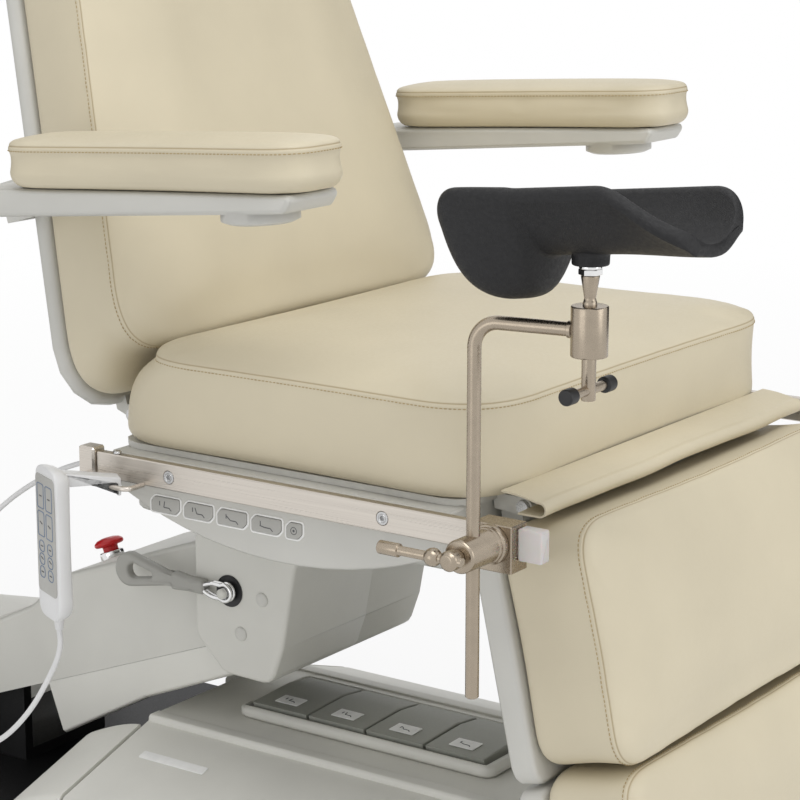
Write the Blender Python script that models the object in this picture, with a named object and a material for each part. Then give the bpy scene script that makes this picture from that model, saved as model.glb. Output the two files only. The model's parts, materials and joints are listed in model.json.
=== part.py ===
"""Examination table in its chair position, with a leg support on its accessory rail.

Metres, +Z up, floor at z = 0. The patient faces -Y, and the rail with the leg support is on the -X side.
The world's Z axis is the seat's swivel axis. Each moving body hangs from an empty on its joint's axis.
"""

import math

import bmesh
import bpy
from mathutils import Matrix, Vector

# Clearances
GAP = 0.0003
BORE_PLAY = 0.0003
EDGE = 0.0015

# Floor base
PLATE_THICKNESS = 0.012
BASE_HALF_WIDTH = 0.26
BASE_FRONT = -0.22
BASE_REAR = 0.72
BASE_CORNER = 0.006
COVER_WALL = 0.004
COVER_TRIM = 0.012
DECK_HEIGHT = 0.130
DECK_HALF_WIDTH = 0.100
EAVES_HEIGHT = 0.082
FRONT_COVER_END = 0.245
REAR_COVER_START = 0.615

# Pedal console
CONSOLE_HEIGHT = 0.0138
CONSOLE_NEAR = 0.062
CONSOLE_FAR = 0.064
CONSOLE_RIM = 0.009
PEDAL_MIDDLE_Y = -0.003
PEDAL_COUNT = 4
PEDAL_LENGTH = 0.072
PEDAL_PITCH = 0.0755
PEDAL_HALF_WIDTH = 0.050
PEDAL_SIDE_PLAY = 0.006
PEDAL_AXIS_RISE = 0.0075
PEDAL_TOP_RISE = 0.0205
PEDAL_RIB_RADIUS = 0.006
PEDAL_FLOOR = 0.0025
PEDAL_RIDGE = 0.012

# Lift arm, from its pivot on the base to its pivot in the head
LIFT_PIVOT_Y = 0.50
LIFT_PIVOT_Z = 0.115
HEAD_PIVOT_Y = 0.085
HEAD_PIVOT_Z = 0.270625
PIVOT_RADIUS = 0.0125
YOKE_HALF_GAP = 0.056
YOKE_WALL = 0.012
YOKE_HALF_LENGTH = 0.028
BEAM_HALF_WIDTH = 0.055
BEAM_TOP = 0.018
BEAM_BOTTOM = -0.0175
BEAM_OVERHANG = 0.022
ARM_HALF_WIDTH = 0.105
ARM_WALL = 0.004
ARM_TOP = 0.093
ARM_PARTING = -0.018
ARM_TRIM = 0.05
ARM_REAR = -0.055
ARM_REAR_DROP = 0.040
ARM_REAR_LEAN = 0.56
ARM_COVER_END = 0.42
ARM_LOWER_END = 0.38
LINK_OFFSET = 0.034
LINK_HALF_HEIGHT = 0.007
LINK_HALF_WIDTH = 0.010
LINK_EYE = 0.010
LINK_PIN = 0.005
MOTOR_RADIUS = 0.016
MOTOR_START = 0.14
MOTOR_END = 0.33
STOP_PLACE = 0.153
STOP_CAP_RADIUS = 0.0172
STOP_CAP_HEIGHT = 0.0105
STOP_COLLAR_RADIUS = 0.0135
STOP_COLLAR_FOOT = 0.068
STOP_COLLAR_TOP = 0.101
STOP_STEM_RADIUS = 0.010
STOP_STEM = 0.018
STOP_TRAVEL = 0.005

# Head
HEAD_HALF_WIDTH = 0.125
HEAD_WALL = 0.0065
HEAD_TOP = 0.385
HEAD_ROOF = 0.009
HEAD_REAR = 0.163
HEAD_BOTTOM = 0.2035
HEAD_FRONT = 0.030
HEAD_PARTING_X = 0.020
HEAD_ROUND = 0.016
SWIVEL_Y = 0.090
BEARING_RADIUS = 0.060
BEARING_HEIGHT = 0.013
LEVER_Y = 0.1155
LEVER_Z = 0.2965
LEVER_LENGTH = 0.129
LEVER_START = 0.030
LEVER_THICKNESS = 0.013
LEVER_NECK = 0.0075
LEVER_END = 0.0185
LEVER_SLOPE = 1.5
LEVER_SLOT_START = 0.100
LEVER_SLOT_END = 0.1225
LEVER_SLOT_RADIUS = 0.0065
LEVER_PIN = 0.0055
FORK_EYE = 0.0105
FORK_TONGUE = 0.0035

# Seat
RAIL_TOP = 0.480
SEAT_HALF_WIDTH = 0.280
SEAT_FRONT = -0.300
SEAT_REAR = 0.150
SEAT_CORNER = 0.068
SEAT_SIDE = 0.088
SEAT_CROWN = 0.016
SEAT_REAR_ROUND = 0.055
FRAME_THICKNESS = 0.006
FRAME_HALF_WIDTH = 0.268
TRAY_HALF_WIDTH = 0.2545
TRAY_FRONT = -0.268
TRAY_REAR = 0.134
TRAY_BOTTOM = 0.412
TRAY_WALL = 0.004
HUB_RADIUS = 0.056
SKIRT_FACE = 0.285
SKIRT_ARC_RADIUS = 0.462
SKIRT_ARC_Y = -0.075
SKIRT_LOWEST = 0.398
GLAND_X = -0.176
GLAND_Z = 0.438
GLAND_RADIUS = 0.008
GLAND_LENGTH = 0.012

# Console keys on the near skirt
KEY_COUNT = 5
KEY_FIRST_Y = 0.061
KEY_PITCH = 0.041
KEY_Z = 0.433
KEY_LENGTH = 0.035
KEY_SHORT = 0.018
KEY_HEIGHT = 0.015
KEY_CHAMFER = 0.005
KEY_PROUD = 0.0018
KEY_DEPTH = 0.0073
KEY_TRAVEL = 0.0015
KEY_PLAY = 0.0004

# Accessory rails
RAIL_HEIGHT = 0.025
RAIL_THICKNESS = 0.010
RAIL_FACE = 0.305
RAIL_FRONT = -0.351
RAIL_REAR = 0.131
RAIL_BOLT_YS = (0.040, -0.208)
BOLT_HEAD = 0.0066
BOLT_SHANK = 0.0042
BOLT_SINK = 0.0045
SPACER_RADIUS = 0.0092
CAP_LENGTH = 0.024
CAP_PROUD = 0.002
STOP_LENGTH = 0.020
STOP_PROUD = 0.004

# Handset on its wire hook
HOOK_WIRE = 0.0025
HOOK_REACH = 0.023
HOOK_FRONT_Y = 0.072
HOOK_Z = 0.4555
HANDSET_X = -0.365
HANDSET_Y = 0.130
HANDSET_Z = 0.4035
HANDSET_WIDTH = 0.050
HANDSET_HEIGHT = 0.150
HANDSET_DEPTH = 0.020
HANDSET_TURN = 36.9
HANGER_HALF_WIDTH = 0.009
HANGER_LENGTH = 0.052
HANGER_LIP = 0.004
HANGER_HEIGHT = 0.014
RELIEF_RADIUS = 0.005
RELIEF_LENGTH = 0.012
CORD_RADIUS = 0.0027

# Back
BACK_HINGE_Y = 0.172
BACK_HINGE_Z = 0.492
BACK_RECLINE = 16.6
BACK_TOP = 0.770
BACK_HALF_LOW = 0.2768
BACK_HALF_HIGH = 0.161
BACK_LOW = 0.0225
BACK_LOW_RISE = 0.0355
BACK_SIDE = 0.085
BACK_CROWN = 0.014
BACK_CORNER = 0.060
BACK_REAR = 0.0114
BACK_SHELL = 0.024
BACK_SHELL_LOW = 0.014
BACK_SHELL_INSET = 0.004
HINGE_RADIUS = 0.006
BACK_LUG_X = 0.200
BACK_LUG_RADIUS = 0.0105
LUG_THICKNESS = 0.008
EAR_THICKNESS = 0.022

# Armrests
ARMREST_X = 0.315
ARMREST_PIVOT_Y = 0.225
ARMREST_PIVOT_Z = 0.720
ARMREST_RISE = 3.5
ARMREST_BASE_LENGTH = 0.374
ARMREST_BASE_HALF = 0.037
ARMREST_BASE_TOP = 0.0125
ARMREST_PIN = 0.008
ARMREST_BOSS_Y = -0.308
ARMREST_BOSS_RADIUS = 0.036
PAD_HALF = 0.0445
PAD_FRONT = -0.388
PAD_REAR = -0.025
PAD_SIDE = 0.040
PAD_CROWN = 0.009
PAD_CORNER = 0.040
BRACKET_X = 0.268
BRACKET_WALL = 0.007
BRACKET_HALF_HEIGHT = 0.020
BRACKET_INNER = 0.150

# Leg rest and sliding foot rest
LEG_HINGE_Y = -0.302
LEG_HINGE_Z = 0.474
LEG_SLOPE = 12.56
LEG_HALF_WIDTH = 0.262
LEG_TOP = -0.0125
LEG_BOTTOM = -0.235
LEG_SIDE = 0.0875
LEG_CROWN = 0.014
LEG_CORNER = 0.032
LEG_SHELL = 0.0290
LEG_SHELL_TOP = -0.022
LEG_SHELL_BOTTOM = -0.248
LEG_LUG_X = 0.215
LEG_LUG_RADIUS = 0.0083
FOOT_GAP = 0.0035
FOOT_LENGTH = 0.137
FOOT_BAR_X = 0.110
FOOT_BAR_HALF = 0.014
FOOT_BAR_DEPTH = 0.008
FOOT_BAR_TOP = -0.080

# Flap between the seat and the leg rest
FLAP_HALF_WIDTH = 0.252
FLAP_THICKNESS = 0.0014
FLAP_START = SEAT_FRONT + 0.0015
FLAP_FOLD = -0.338
FLAP_END = -0.316
FLAP_FOLD_RADIUS = 0.0070
FLAP_RISE = 0.0115
FLAP_FOLD_DROP = 0.0010

# Leg support
SUPPORT_X = -0.345
SUPPORT_Y = -0.331
CLAMP_LENGTH = 0.040
CLAMP_FRONT_WALL = 0.011
CLAMP_ABOVE = 0.0045
CLAMP_OVER = 0.012
CLAMP_LIP = 0.0018
CLAMP_BACK_WALL = 0.0042
COLLAR_RADIUS = 0.0148
COLLAR_OUTER_X = -0.3675
ROD_RADIUS = 0.006
ROD_BOTTOM = 0.338
ROD_BEND_Z = 0.666
ROD_BEND_RADIUS = 0.022
ROD_YAW = 9.0
BARREL_REACH = 0.102
BARREL_RADIUS = 0.0155
BARREL_BOTTOM = 0.645
BARREL_TOP = 0.687
BARREL_BORE = 0.0065
STEM_FOOT = 0.6665
STEM_TOP = 0.712
STEM_RADIUS = 0.006
NUT_RADIUS = 0.0095
NUT_HEIGHT = 0.008
LOCK_BAR_Z = 0.617
LOCK_BAR_HALF = 0.037
LOCK_BAR_RADIUS = 0.0042
LOCK_CAP_RADIUS = 0.007
LOCK_CAP_LENGTH = 0.014
HANDLE_HUB_RADIUS = 0.009
HANDLE_HUB_LENGTH = 0.018
HANDLE_BAR_RADIUS = 0.004
HANDLE_BAR_REAR = 0.073
HANDLE_BAR_FRONT = 0.012
HANDLE_SLEEVE_RADIUS = 0.0062
HANDLE_SLEEVE_LENGTH = 0.020

# Knee crutch shell, along its trough from the thigh end to the calf end
CRUTCH_THIGH_Y = -0.315
CRUTCH_CALF_Y = -0.550
CRUTCH_HALF_WIDTH = 0.056
CRUTCH_THICKNESS = 0.008
CRUTCH_FLOOR_Z = 0.742
CRUTCH_LOBE_DROP = 0.044
CRUTCH_LOBE_MIDDLE = 0.22
CRUTCH_LOBE_REACH = 0.205
CRUTCH_RIM_Z = 0.785
CRUTCH_RIM_FALL = 0.030
CRUTCH_NEAR_DROP = 0.024
SOCKET_RADIUS = 0.0155

# Mesh fineness
SIDES = 14
THIN_SIDES = 10


# Mesh helpers

def loft(rings):
    """A closed mesh through rings of equal point counts, with both ends capped."""
    mesh = bmesh.new()
    rows = [[mesh.verts.new(point) for point in ring] for ring in rings]
    count = len(rows[0])
    for lower, upper in zip(rows, rows[1:]):
        for index in range(count):
            after = (index + 1) % count
            mesh.faces.new((lower[index], lower[after], upper[after], upper[index]))
    mesh.faces.new(rows[0][::-1])
    mesh.faces.new(rows[-1])
    if mesh.calc_volume(signed=True) < 0:
        bmesh.ops.reverse_faces(mesh, faces=mesh.faces)
    return mesh


def prism(axis, outline, low, high):
    """An outline extruded along X (points are y, z), Y (points are x, z) or Z (points are x, y)."""
    place = {
        "X": lambda a, b, level: (level, a, b),
        "Y": lambda a, b, level: (a, level, b),
        "Z": lambda a, b, level: (a, b, level),
    }[axis]
    return loft([[place(a, b, level) for a, b in outline] for level in (low, high)])


def arc(center, radius, start, end, steps):
    """Points on a circle from one angle to another, in degrees."""
    angles = [math.radians(start + (end - start) * step / steps) for step in range(steps + 1)]
    return [(center[0] + radius * math.cos(a), center[1] + radius * math.sin(a)) for a in angles]


def rounded(points, radius, steps=3):
    """A polygon with an arc at each corner, limited by the corner's shorter side."""
    result = []
    for index, point in enumerate(points):
        corner = Vector(point)
        before = Vector(points[index - 1]) - corner
        after = Vector(points[(index + 1) % len(points)]) - corner
        half = before.angle(after) / 2
        turn = math.pi - 2 * half
        if turn < 0.05:
            result.append(corner)
            continue
        reach = min(radius / math.tan(half), 0.45 * min(before.length, after.length))
        used = reach * math.tan(half)
        center = corner + (before.normalized() + after.normalized()).normalized() * used / math.sin(half)
        first = corner + before.normalized() * reach - center
        last = corner + after.normalized() * reach - center
        for step in range(steps + 1):
            share = step / steps
            mixed = first * math.sin((1 - share) * turn) + last * math.sin(share * turn)
            result.append(center + mixed / math.sin(turn))
    return [(point[0], point[1]) for point in result]


def rectangle(low_a, high_a, low_b, high_b):
    return [(low_a, low_b), (high_a, low_b), (high_a, high_b), (low_a, high_b)]


def box(low, high):
    return prism("Z", rectangle(low[0], high[0], low[1], high[1]), low[2], high[2])


def cross_axes(axis):
    """Two unit vectors square to an axis and to each other."""
    side = Vector((0, 0, 1)) if abs(axis.z) < 0.9 else Vector((1, 0, 0))
    first = axis.cross(side).normalized()
    return first, axis.cross(first).normalized()


def turned(axis, foot, profile, sides=SIDES):
    """A turned solid: the profile lists (distance along the axis from the foot, radius)."""
    axis = Vector(axis).normalized()
    first, second = cross_axes(axis)
    rings = []
    for level, radius in profile:
        center = Vector(foot) + axis * level
        angles = [2 * math.pi * step / sides for step in range(sides)]
        rings.append([center + (first * math.cos(a) + second * math.sin(a)) * radius for a in angles])
    return loft(rings)


def swept(points, radius, sides):
    """A round tube along points, its rings carried on without twist."""
    points = [Vector(point) for point in points]
    rings = []
    first = None
    for index, point in enumerate(points):
        before = points[max(index - 1, 0)]
        after = points[min(index + 1, len(points) - 1)]
        along = (after - before).normalized()
        first = cross_axes(along)[0] if first is None else (first - along * first.dot(along)).normalized()
        second = along.cross(first)
        angles = [2 * math.pi * step / sides for step in range(sides)]
        rings.append([point + (first * math.cos(a) + second * math.sin(a)) * radius for a in angles])
    return loft(rings)


def smooth_step(value):
    value = min(max(value, 0.0), 1.0)
    return value * value * (3 - 2 * value)


# Scene helpers

FRAMES = {}
MATERIALS = {}


def make_material(name, colour, roughness, metallic=0.0):
    material = bpy.data.materials.new(name)
    material.use_nodes = True
    shader = material.node_tree.nodes["Principled BSDF"]
    shader.inputs["Base Color"].default_value = (*colour, 1.0)
    shader.inputs["Roughness"].default_value = roughness
    shader.inputs["Metallic"].default_value = metallic
    MATERIALS[name] = material


def make_body(name, parent, place, tilt=0.0):
    """An empty on a joint's axis, turned about X by the tilt in degrees."""
    empty = bpy.data.objects.new(name, None)
    bpy.context.scene.collection.objects.link(empty)
    FRAMES[name] = Matrix.Translation(place) @ Matrix.Rotation(math.radians(tilt), 4, "X")
    if parent:
        empty.parent = bpy.data.objects[parent]
        empty.matrix_parent_inverse = FRAMES[parent].inverted()
    empty.matrix_basis = FRAMES[name]


def make_solid(name, mesh, look, body, local=False):
    """An object from a mesh in world coordinates, or in its body's own frame if local."""
    data = bpy.data.meshes.new(name)
    mesh.to_mesh(data)
    mesh.free()
    data.shade_smooth()
    data.set_sharp_from_angle(angle=math.radians(35))
    item = bpy.data.objects.new(name, data)
    bpy.context.scene.collection.objects.link(item)
    item.parent = bpy.data.objects[body]
    if not local:
        item.matrix_parent_inverse = FRAMES[body].inverted()
    if look:
        data.materials.append(MATERIALS[look])
    return item


def combine(target, mesh, operation):
    """Cuts a hidden mesh, given in the target's own coordinates, from the target or joins it on."""
    tool_name = f"{target.name}.tool{len(target.modifiers)}"
    tool = make_solid(tool_name, mesh, None, target.parent.name)
    tool.matrix_parent_inverse = target.matrix_parent_inverse.copy()
    tool.hide_render = True
    tool.hide_set(True)
    tool.display_type = "WIRE"
    modifier = target.modifiers.new(operation.title(), "BOOLEAN")
    modifier.operation = operation
    modifier.object = tool


def cut(target, mesh):
    combine(target, mesh, "DIFFERENCE")


def join(target, mesh):
    combine(target, mesh, "UNION")


def soften(item, width=EDGE, segments=1):
    modifier = item.modifiers.new("Bevel", "BEVEL")
    modifier.width = width
    modifier.segments = segments
    modifier.limit_method = "ANGLE"
    modifier.angle_limit = math.radians(50)


# Cushions

CORNER_STEPS = 3
EDGE_STEPS = 3
FACE_STEPS = 3
SIDE_DRAW = 0.03
EDGE_BOW = 0.003
CUSHION_ROLL = 0.014


def cushion_ring(half_low, half_high, low, high, corner, inset):
    """A rounded trapezoid whose straight edges bow inwards, set in by the inset."""
    share = inset / max(high - low, inset)
    low_half = half_low - inset + (half_high - half_low) * share
    high_half = half_high - inset - (half_high - half_low) * share
    corners = [
        (-low_half, low + inset),
        (low_half, low + inset),
        (high_half, high - inset),
        (-high_half, high - inset),
    ]
    curved = rounded(corners, max(corner - inset, 0.12 * min(low_half, high_half)), CORNER_STEPS)
    size = CORNER_STEPS + 1
    middle = Vector((0, (low + high) / 2))
    ring = []
    for side in range(4):
        ring.extend(curved[side * size : (side + 1) * size])
        start = Vector(curved[side * size + size - 1])
        end = Vector(curved[((side + 1) % 4) * size])
        inward = Vector((start.y - end.y, end.x - start.x)).normalized()
        if inward.dot(middle - start) < 0:
            inward.negate()
        for step in range(1, EDGE_STEPS):
            part = step / EDGE_STEPS
            ring.append(tuple(start.lerp(end, part) + inward * EDGE_BOW * math.sin(math.pi * part)))
    return ring


def cushion(halves, low, high, corner, side, crown, place):
    """A sewn cushion: rolled lower edge, side drawn in at its waist, seam, and crowned face.

    low and high give the ends of the outline at a height, and place puts (across, along, height) in space.
    """
    roll = CUSHION_ROLL
    layers = [(0.0, roll), (0.35 * roll, 0.3 * roll), (1.2 * roll, 0.0), (0.55 * side, SIDE_DRAW * side)]
    layers += [(side - 0.4 * roll, 0.0), (side, 0.25 * roll)]
    reach = 0.8 * min(min(halves), (high(side) - low(side)) / 2)
    for step in range(1, FACE_STEPS + 1):
        share = step / FACE_STEPS
        layers.append((side + crown * (1 - (1 - share) ** 2), 0.25 * roll + share * reach))
    rings = []
    for height, inset in layers:
        ring = cushion_ring(*halves, low(height), high(height), corner, inset)
        rings.append([place(across, along, height) for across, along in ring])
    return loft(rings)


# Floor base

def cover_profile(inset, bottom):
    """A base cover's section across X: upright sides, then slopes up to the flat deck."""
    half = BASE_HALF_WIDTH - inset
    return [(-half, bottom), (half, bottom), (half, EAVES_HEIGHT - 0.012 - inset),
            (half - 0.010, EAVES_HEIGHT - inset), (DECK_HALF_WIDTH, DECK_HEIGHT - inset),
            (-DECK_HALF_WIDTH, DECK_HEIGHT - inset), (-half + 0.010, EAVES_HEIGHT - inset),
            (-half, EAVES_HEIGHT - 0.012 - inset)]


def build_base_cover(name, front, rear):
    """A hollow cover, open below, that stands on the base plate."""
    bottom = PLATE_THICKNESS + GAP
    blank = prism("Y", cover_profile(0.0, bottom - COVER_TRIM), front, rear)
    cover = make_solid(name, blank, "grey_plastic", "base")
    soften(cover, 0.005)
    cut(cover, prism("Y", cover_profile(COVER_WALL, bottom - 2 * COVER_TRIM), front + COVER_WALL, rear - COVER_WALL))
    foot = rectangle(-2 * BASE_HALF_WIDTH, 2 * BASE_HALF_WIDTH, bottom - 3 * COVER_TRIM, bottom)
    cut(cover, prism("Y", foot, front - COVER_TRIM, rear + COVER_TRIM))


def build_base():
    plate_outline = rounded(rectangle(-BASE_HALF_WIDTH, BASE_HALF_WIDTH, BASE_FRONT, BASE_REAR), BASE_CORNER, 4)
    make_solid("base_plate", prism("Z", plate_outline, 0.0, PLATE_THICKNESS), "dark_metal", "base")
    build_base_cover("base_front_cover", BASE_FRONT, FRONT_COVER_END)
    build_base_cover("base_rear_cover", REAR_COVER_START, BASE_REAR)
    build_yoke(PLATE_THICKNESS + GAP)


def build_yoke(bottom):
    """A U-shaped bracket with the arm's pin and the levelling link's pin across it."""
    inner = YOKE_HALF_GAP
    outer = YOKE_HALF_GAP + YOKE_WALL
    top = LINK_FOOT.z + LINK_EYE
    floor = bottom + YOKE_WALL
    outline = [(-outer, bottom), (outer, bottom), (outer, top), (inner, top), (inner, floor),
               (-inner, floor), (-inner, top), (-outer, top)]
    yoke = make_solid(
        "lift_yoke",
        prism("Y", outline, LIFT_PIVOT_Y - YOKE_HALF_LENGTH, LIFT_PIVOT_Y + YOKE_HALF_LENGTH),
        "dark_metal", "base")
    reach = outer + 0.006
    pin = [(0, PIVOT_RADIUS), (2 * reach, PIVOT_RADIUS)]
    join(yoke, turned((1, 0, 0), (-reach, LIFT_PIVOT_Y, LIFT_PIVOT_Z), pin))
    pin_start = (-inner - 0.5 * YOKE_WALL, LINK_FOOT.y, LINK_FOOT.z)
    join(yoke, turned((1, 0, 0), pin_start, [(0, LINK_PIN), (2 * inner + YOKE_WALL, LINK_PIN)]))


def build_pedals():
    deck = DECK_HEIGHT + GAP
    run = (PEDAL_COUNT - 1) * PEDAL_PITCH + PEDAL_LENGTH
    half_run = run / 2 + PEDAL_SIDE_PLAY
    low = PEDAL_MIDDLE_Y - half_run
    high = PEDAL_MIDDLE_Y + half_run
    outline = rounded(rectangle(-CONSOLE_NEAR, CONSOLE_FAR, low - CONSOLE_RIM, high + CONSOLE_RIM), 0.014, 3)
    console = make_solid("pedal_console", prism("Z", outline, deck, deck + CONSOLE_HEIGHT), "grey_plastic", "base")
    soften(console, 0.004)
    half = PEDAL_HALF_WIDTH + PEDAL_SIDE_PLAY
    cut(console, box((-half, low, deck + PEDAL_FLOOR), (half, high, deck + 2 * CONSOLE_HEIGHT)))
    axis_z = deck + PEDAL_AXIS_RISE
    rib = [(-PEDAL_RIB_RADIUS, deck + 0.5 * PEDAL_FLOOR), (PEDAL_RIB_RADIUS, deck + 0.5 * PEDAL_FLOOR)]
    rib += arc((0, axis_z), PEDAL_RIB_RADIUS, 0, 180, 8)
    join(console, prism("Y", rib, low - 0.5 * CONSOLE_RIM, high + 0.5 * CONSOLE_RIM))
    for number in range(PEDAL_COUNT):
        middle = PEDAL_MIDDLE_Y + run / 2 - PEDAL_LENGTH / 2 - number * PEDAL_PITCH
        build_pedal(f"pedal_{number + 1}", middle, axis_z)


def build_pedal(name, middle, axis_z):
    """A rocker on the console's rib: a wide near plate and a short wedge behind its ridge."""
    make_body(f"{name}_axis", "base", (0, middle, axis_z))
    groove = PEDAL_RIB_RADIUS + BORE_PLAY
    under = axis_z + 0.0005
    top = axis_z + PEDAL_TOP_RISE - PEDAL_AXIS_RISE
    outline = [(-PEDAL_HALF_WIDTH, under)]
    outline += arc((0, axis_z), groove, 176, 4, 8)
    outline += [(PEDAL_HALF_WIDTH, under), (PEDAL_HALF_WIDTH, under + 0.008), (PEDAL_RIDGE, top)]
    outline += [(-PEDAL_HALF_WIDTH - 0.002, under + 0.0095)]
    pedal = make_solid(name, prism("Y", outline, middle - PEDAL_LENGTH / 2, middle + PEDAL_LENGTH / 2),
                       "pedal_plastic", f"{name}_axis")
    soften(pedal, 0.001)


# Lift arm: its own frame has -Y along the arm and Z square to its top

def arm_points(points):
    return [(-along, height) for along, height in points]


def build_lift_arm():
    length = ARM_LENGTH
    beam_outline = rounded(
        rectangle(-length - BEAM_OVERHANG, BEAM_OVERHANG, BEAM_BOTTOM, BEAM_TOP), 0.010, 2)
    beam = make_solid("arm_beam", prism("X", beam_outline, -BEAM_HALF_WIDTH, BEAM_HALF_WIDTH),
                      "dark_metal", "lift_arm", local=True)
    bore = (PIVOT_RADIUS + BORE_PLAY) / math.cos(math.pi / SIDES)
    for along in (0.0, length):
        start = (-2 * BEAM_HALF_WIDTH, -along, 0)
        cut(beam, turned((1, 0, 0), start, [(0, bore), (4 * BEAM_HALF_WIDTH, bore)]))
    build_arm_covers()
    motor_foot = (0, -MOTOR_START, BEAM_BOTTOM - 0.0005 - MOTOR_RADIUS)
    motor_length = MOTOR_END - MOTOR_START
    motor_profile = [(0, MOTOR_RADIUS), (0.4 * motor_length, MOTOR_RADIUS),
                     (0.42 * motor_length, 0.8 * MOTOR_RADIUS), (motor_length, 0.8 * MOTOR_RADIUS)]
    make_solid("lift_motor", turned((0, -1, 0), motor_foot, motor_profile), "dark_metal", "lift_arm", local=True)
    build_stop_button()
    link_outline = rounded(
        rectangle(-length - LINK_EYE, LINK_EYE, -LINK_HALF_HEIGHT, LINK_HALF_HEIGHT), LINK_HALF_HEIGHT, 3)
    link = make_solid("levelling_link", prism("X", link_outline, -LINK_HALF_WIDTH, LINK_HALF_WIDTH),
                      "steel", "link", local=True)
    link_bore = LINK_PIN + BORE_PLAY
    cut(link, turned((1, 0, 0), (-4 * LINK_HALF_WIDTH, 0, 0), [(0, link_bore), (8 * LINK_HALF_WIDTH, link_bore)]))


def upper_cover_points(inset, open_by):
    """The upper cover's side outline, drawn past the parting line; open_by carries its cavity out."""
    bottom = ARM_PARTING - ARM_TRIM - open_by
    rear_top = ARM_TOP - ARM_REAR_DROP - inset
    return arm_points([
        (ARM_COVER_END + open_by, bottom),
        (ARM_COVER_END + open_by, ARM_TOP - 0.010 - inset),
        (ARM_COVER_END - 0.05, ARM_TOP - inset),
        (0.17, ARM_TOP + 0.001 - inset),
        (0.110, ARM_TOP - 0.023 - inset),
        (ARM_REAR + inset, rear_top),
        (ARM_REAR + inset - ARM_REAR_LEAN * (rear_top - bottom), bottom),
    ])


def lower_cover_points(inset, open_by):
    """The lower cover's side outline, drawn past the parting line; open_by carries its cavity out."""
    parting = ARM_PARTING - GAP
    return arm_points([
        (0.10 + inset, parting + ARM_TRIM + open_by),
        (ARM_LOWER_END + open_by, parting + ARM_TRIM + open_by),
        (ARM_LOWER_END + open_by, parting - 0.036 + inset),
        (0.241, parting - 0.0405 + inset),
        (0.10 + inset, parting - 0.061 + inset),
    ])


def build_arm_covers():
    inner = ARM_HALF_WIDTH - ARM_WALL
    upper = make_solid(
        "arm_upper_cover",
        prism("X", rounded(upper_cover_points(0.0, 0.0), 0.030), -ARM_HALF_WIDTH, ARM_HALF_WIDTH),
        "head_plastic", "lift_arm", local=True)
    soften(upper, 0.006)
    cut(upper, prism("X", upper_cover_points(ARM_WALL, 0.02), -inner, inner))
    below = rectangle(-1.0, 1.0, ARM_PARTING - 3 * ARM_TRIM, ARM_PARTING)
    cut(upper, prism("X", below, -2 * ARM_HALF_WIDTH, 2 * ARM_HALF_WIDTH))
    lower = make_solid(
        "arm_lower_cover",
        prism("X", lower_cover_points(0.0, 0.0), -ARM_HALF_WIDTH, ARM_HALF_WIDTH),
        "head_plastic", "lift_arm", local=True)
    soften(lower, 0.004)
    cut(lower, prism("X", lower_cover_points(ARM_WALL, 0.02), -inner, inner))
    above = rectangle(-1.0, 1.0, ARM_PARTING - GAP, ARM_PARTING + 3 * ARM_TRIM)
    cut(lower, prism("X", above, -2 * ARM_HALF_WIDTH, 2 * ARM_HALF_WIDTH))
    collar = [(STOP_COLLAR_FOOT, STOP_COLLAR_RADIUS), (STOP_COLLAR_TOP - 0.003, STOP_COLLAR_RADIUS),
              (STOP_COLLAR_TOP, STOP_COLLAR_RADIUS - 0.003)]
    join(upper, turned((0, 0, 1), (0, -STOP_PLACE, 0), collar))
    bore = STOP_STEM_RADIUS + BORE_PLAY
    cut(upper, turned((0, 0, 1), (0, -STOP_PLACE, 0), [(0.5 * ARM_TOP, bore), (2 * ARM_TOP, bore)]))


def build_stop_button():
    """A mushroom button whose stem slides in the collar's bore."""
    foot = (0, -STOP_PLACE, STOP_COLLAR_TOP + STOP_TRAVEL + 2 * GAP)
    profile = [(-STOP_STEM, STOP_STEM_RADIUS), (0.0, STOP_STEM_RADIUS), (0.001, STOP_CAP_RADIUS - 0.002),
               (0.004, STOP_CAP_RADIUS), (0.6 * STOP_CAP_HEIGHT, STOP_CAP_RADIUS - 0.001),
               (0.9 * STOP_CAP_HEIGHT, 0.75 * STOP_CAP_RADIUS), (STOP_CAP_HEIGHT, 0.4 * STOP_CAP_RADIUS)]
    make_solid("stop_button", turned((0, 0, 1), foot, profile), "red_plastic", "stop_axis", local=True)


# Head

def build_head():
    wall = HEAD_HALF_WIDTH - HEAD_WALL
    pin = [(0, PIVOT_RADIUS), (2 * (wall - GAP), PIVOT_RADIUS)]
    make_solid("head_pin", turned((1, 0, 0), (-wall + GAP, HEAD_PIVOT_Y, HEAD_PIVOT_Z), pin), "steel", "head")
    housing = build_head_shell("head_housing")
    roof = HEAD_TOP - HEAD_ROOF
    cut(housing, prism("X", rectangle(-0.5, 0.5, 0.0, roof), HEAD_PARTING_X, 0.5))
    cover = build_head_shell("head_far_cover")
    cut(cover, prism("X", rectangle(-0.5, 0.5, 0.0, 0.6), -0.5, HEAD_PARTING_X + GAP))
    cut(cover, prism("X", rectangle(-0.5, 0.5, roof - GAP, 0.6), -0.5, 0.5))
    bearing = [(0, BEARING_RADIUS), (BEARING_HEIGHT - 0.002, BEARING_RADIUS), (BEARING_HEIGHT, BEARING_RADIUS - 0.002)]
    make_solid("swivel_bearing", turned((0, 0, 1), (0, SWIVEL_Y, HEAD_TOP + GAP), bearing, 24), "steel", "head")
    build_lever(housing)


def head_front(inset):
    """The head's front line from its foot up: leaning forward, then flaring under the seat."""
    return [(HEAD_FRONT + 0.032 + inset, HEAD_BOTTOM), (HEAD_FRONT + 0.017 + inset, HEAD_BOTTOM + 0.0415),
            (HEAD_FRONT + inset, HEAD_TOP - 0.050)]


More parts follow.
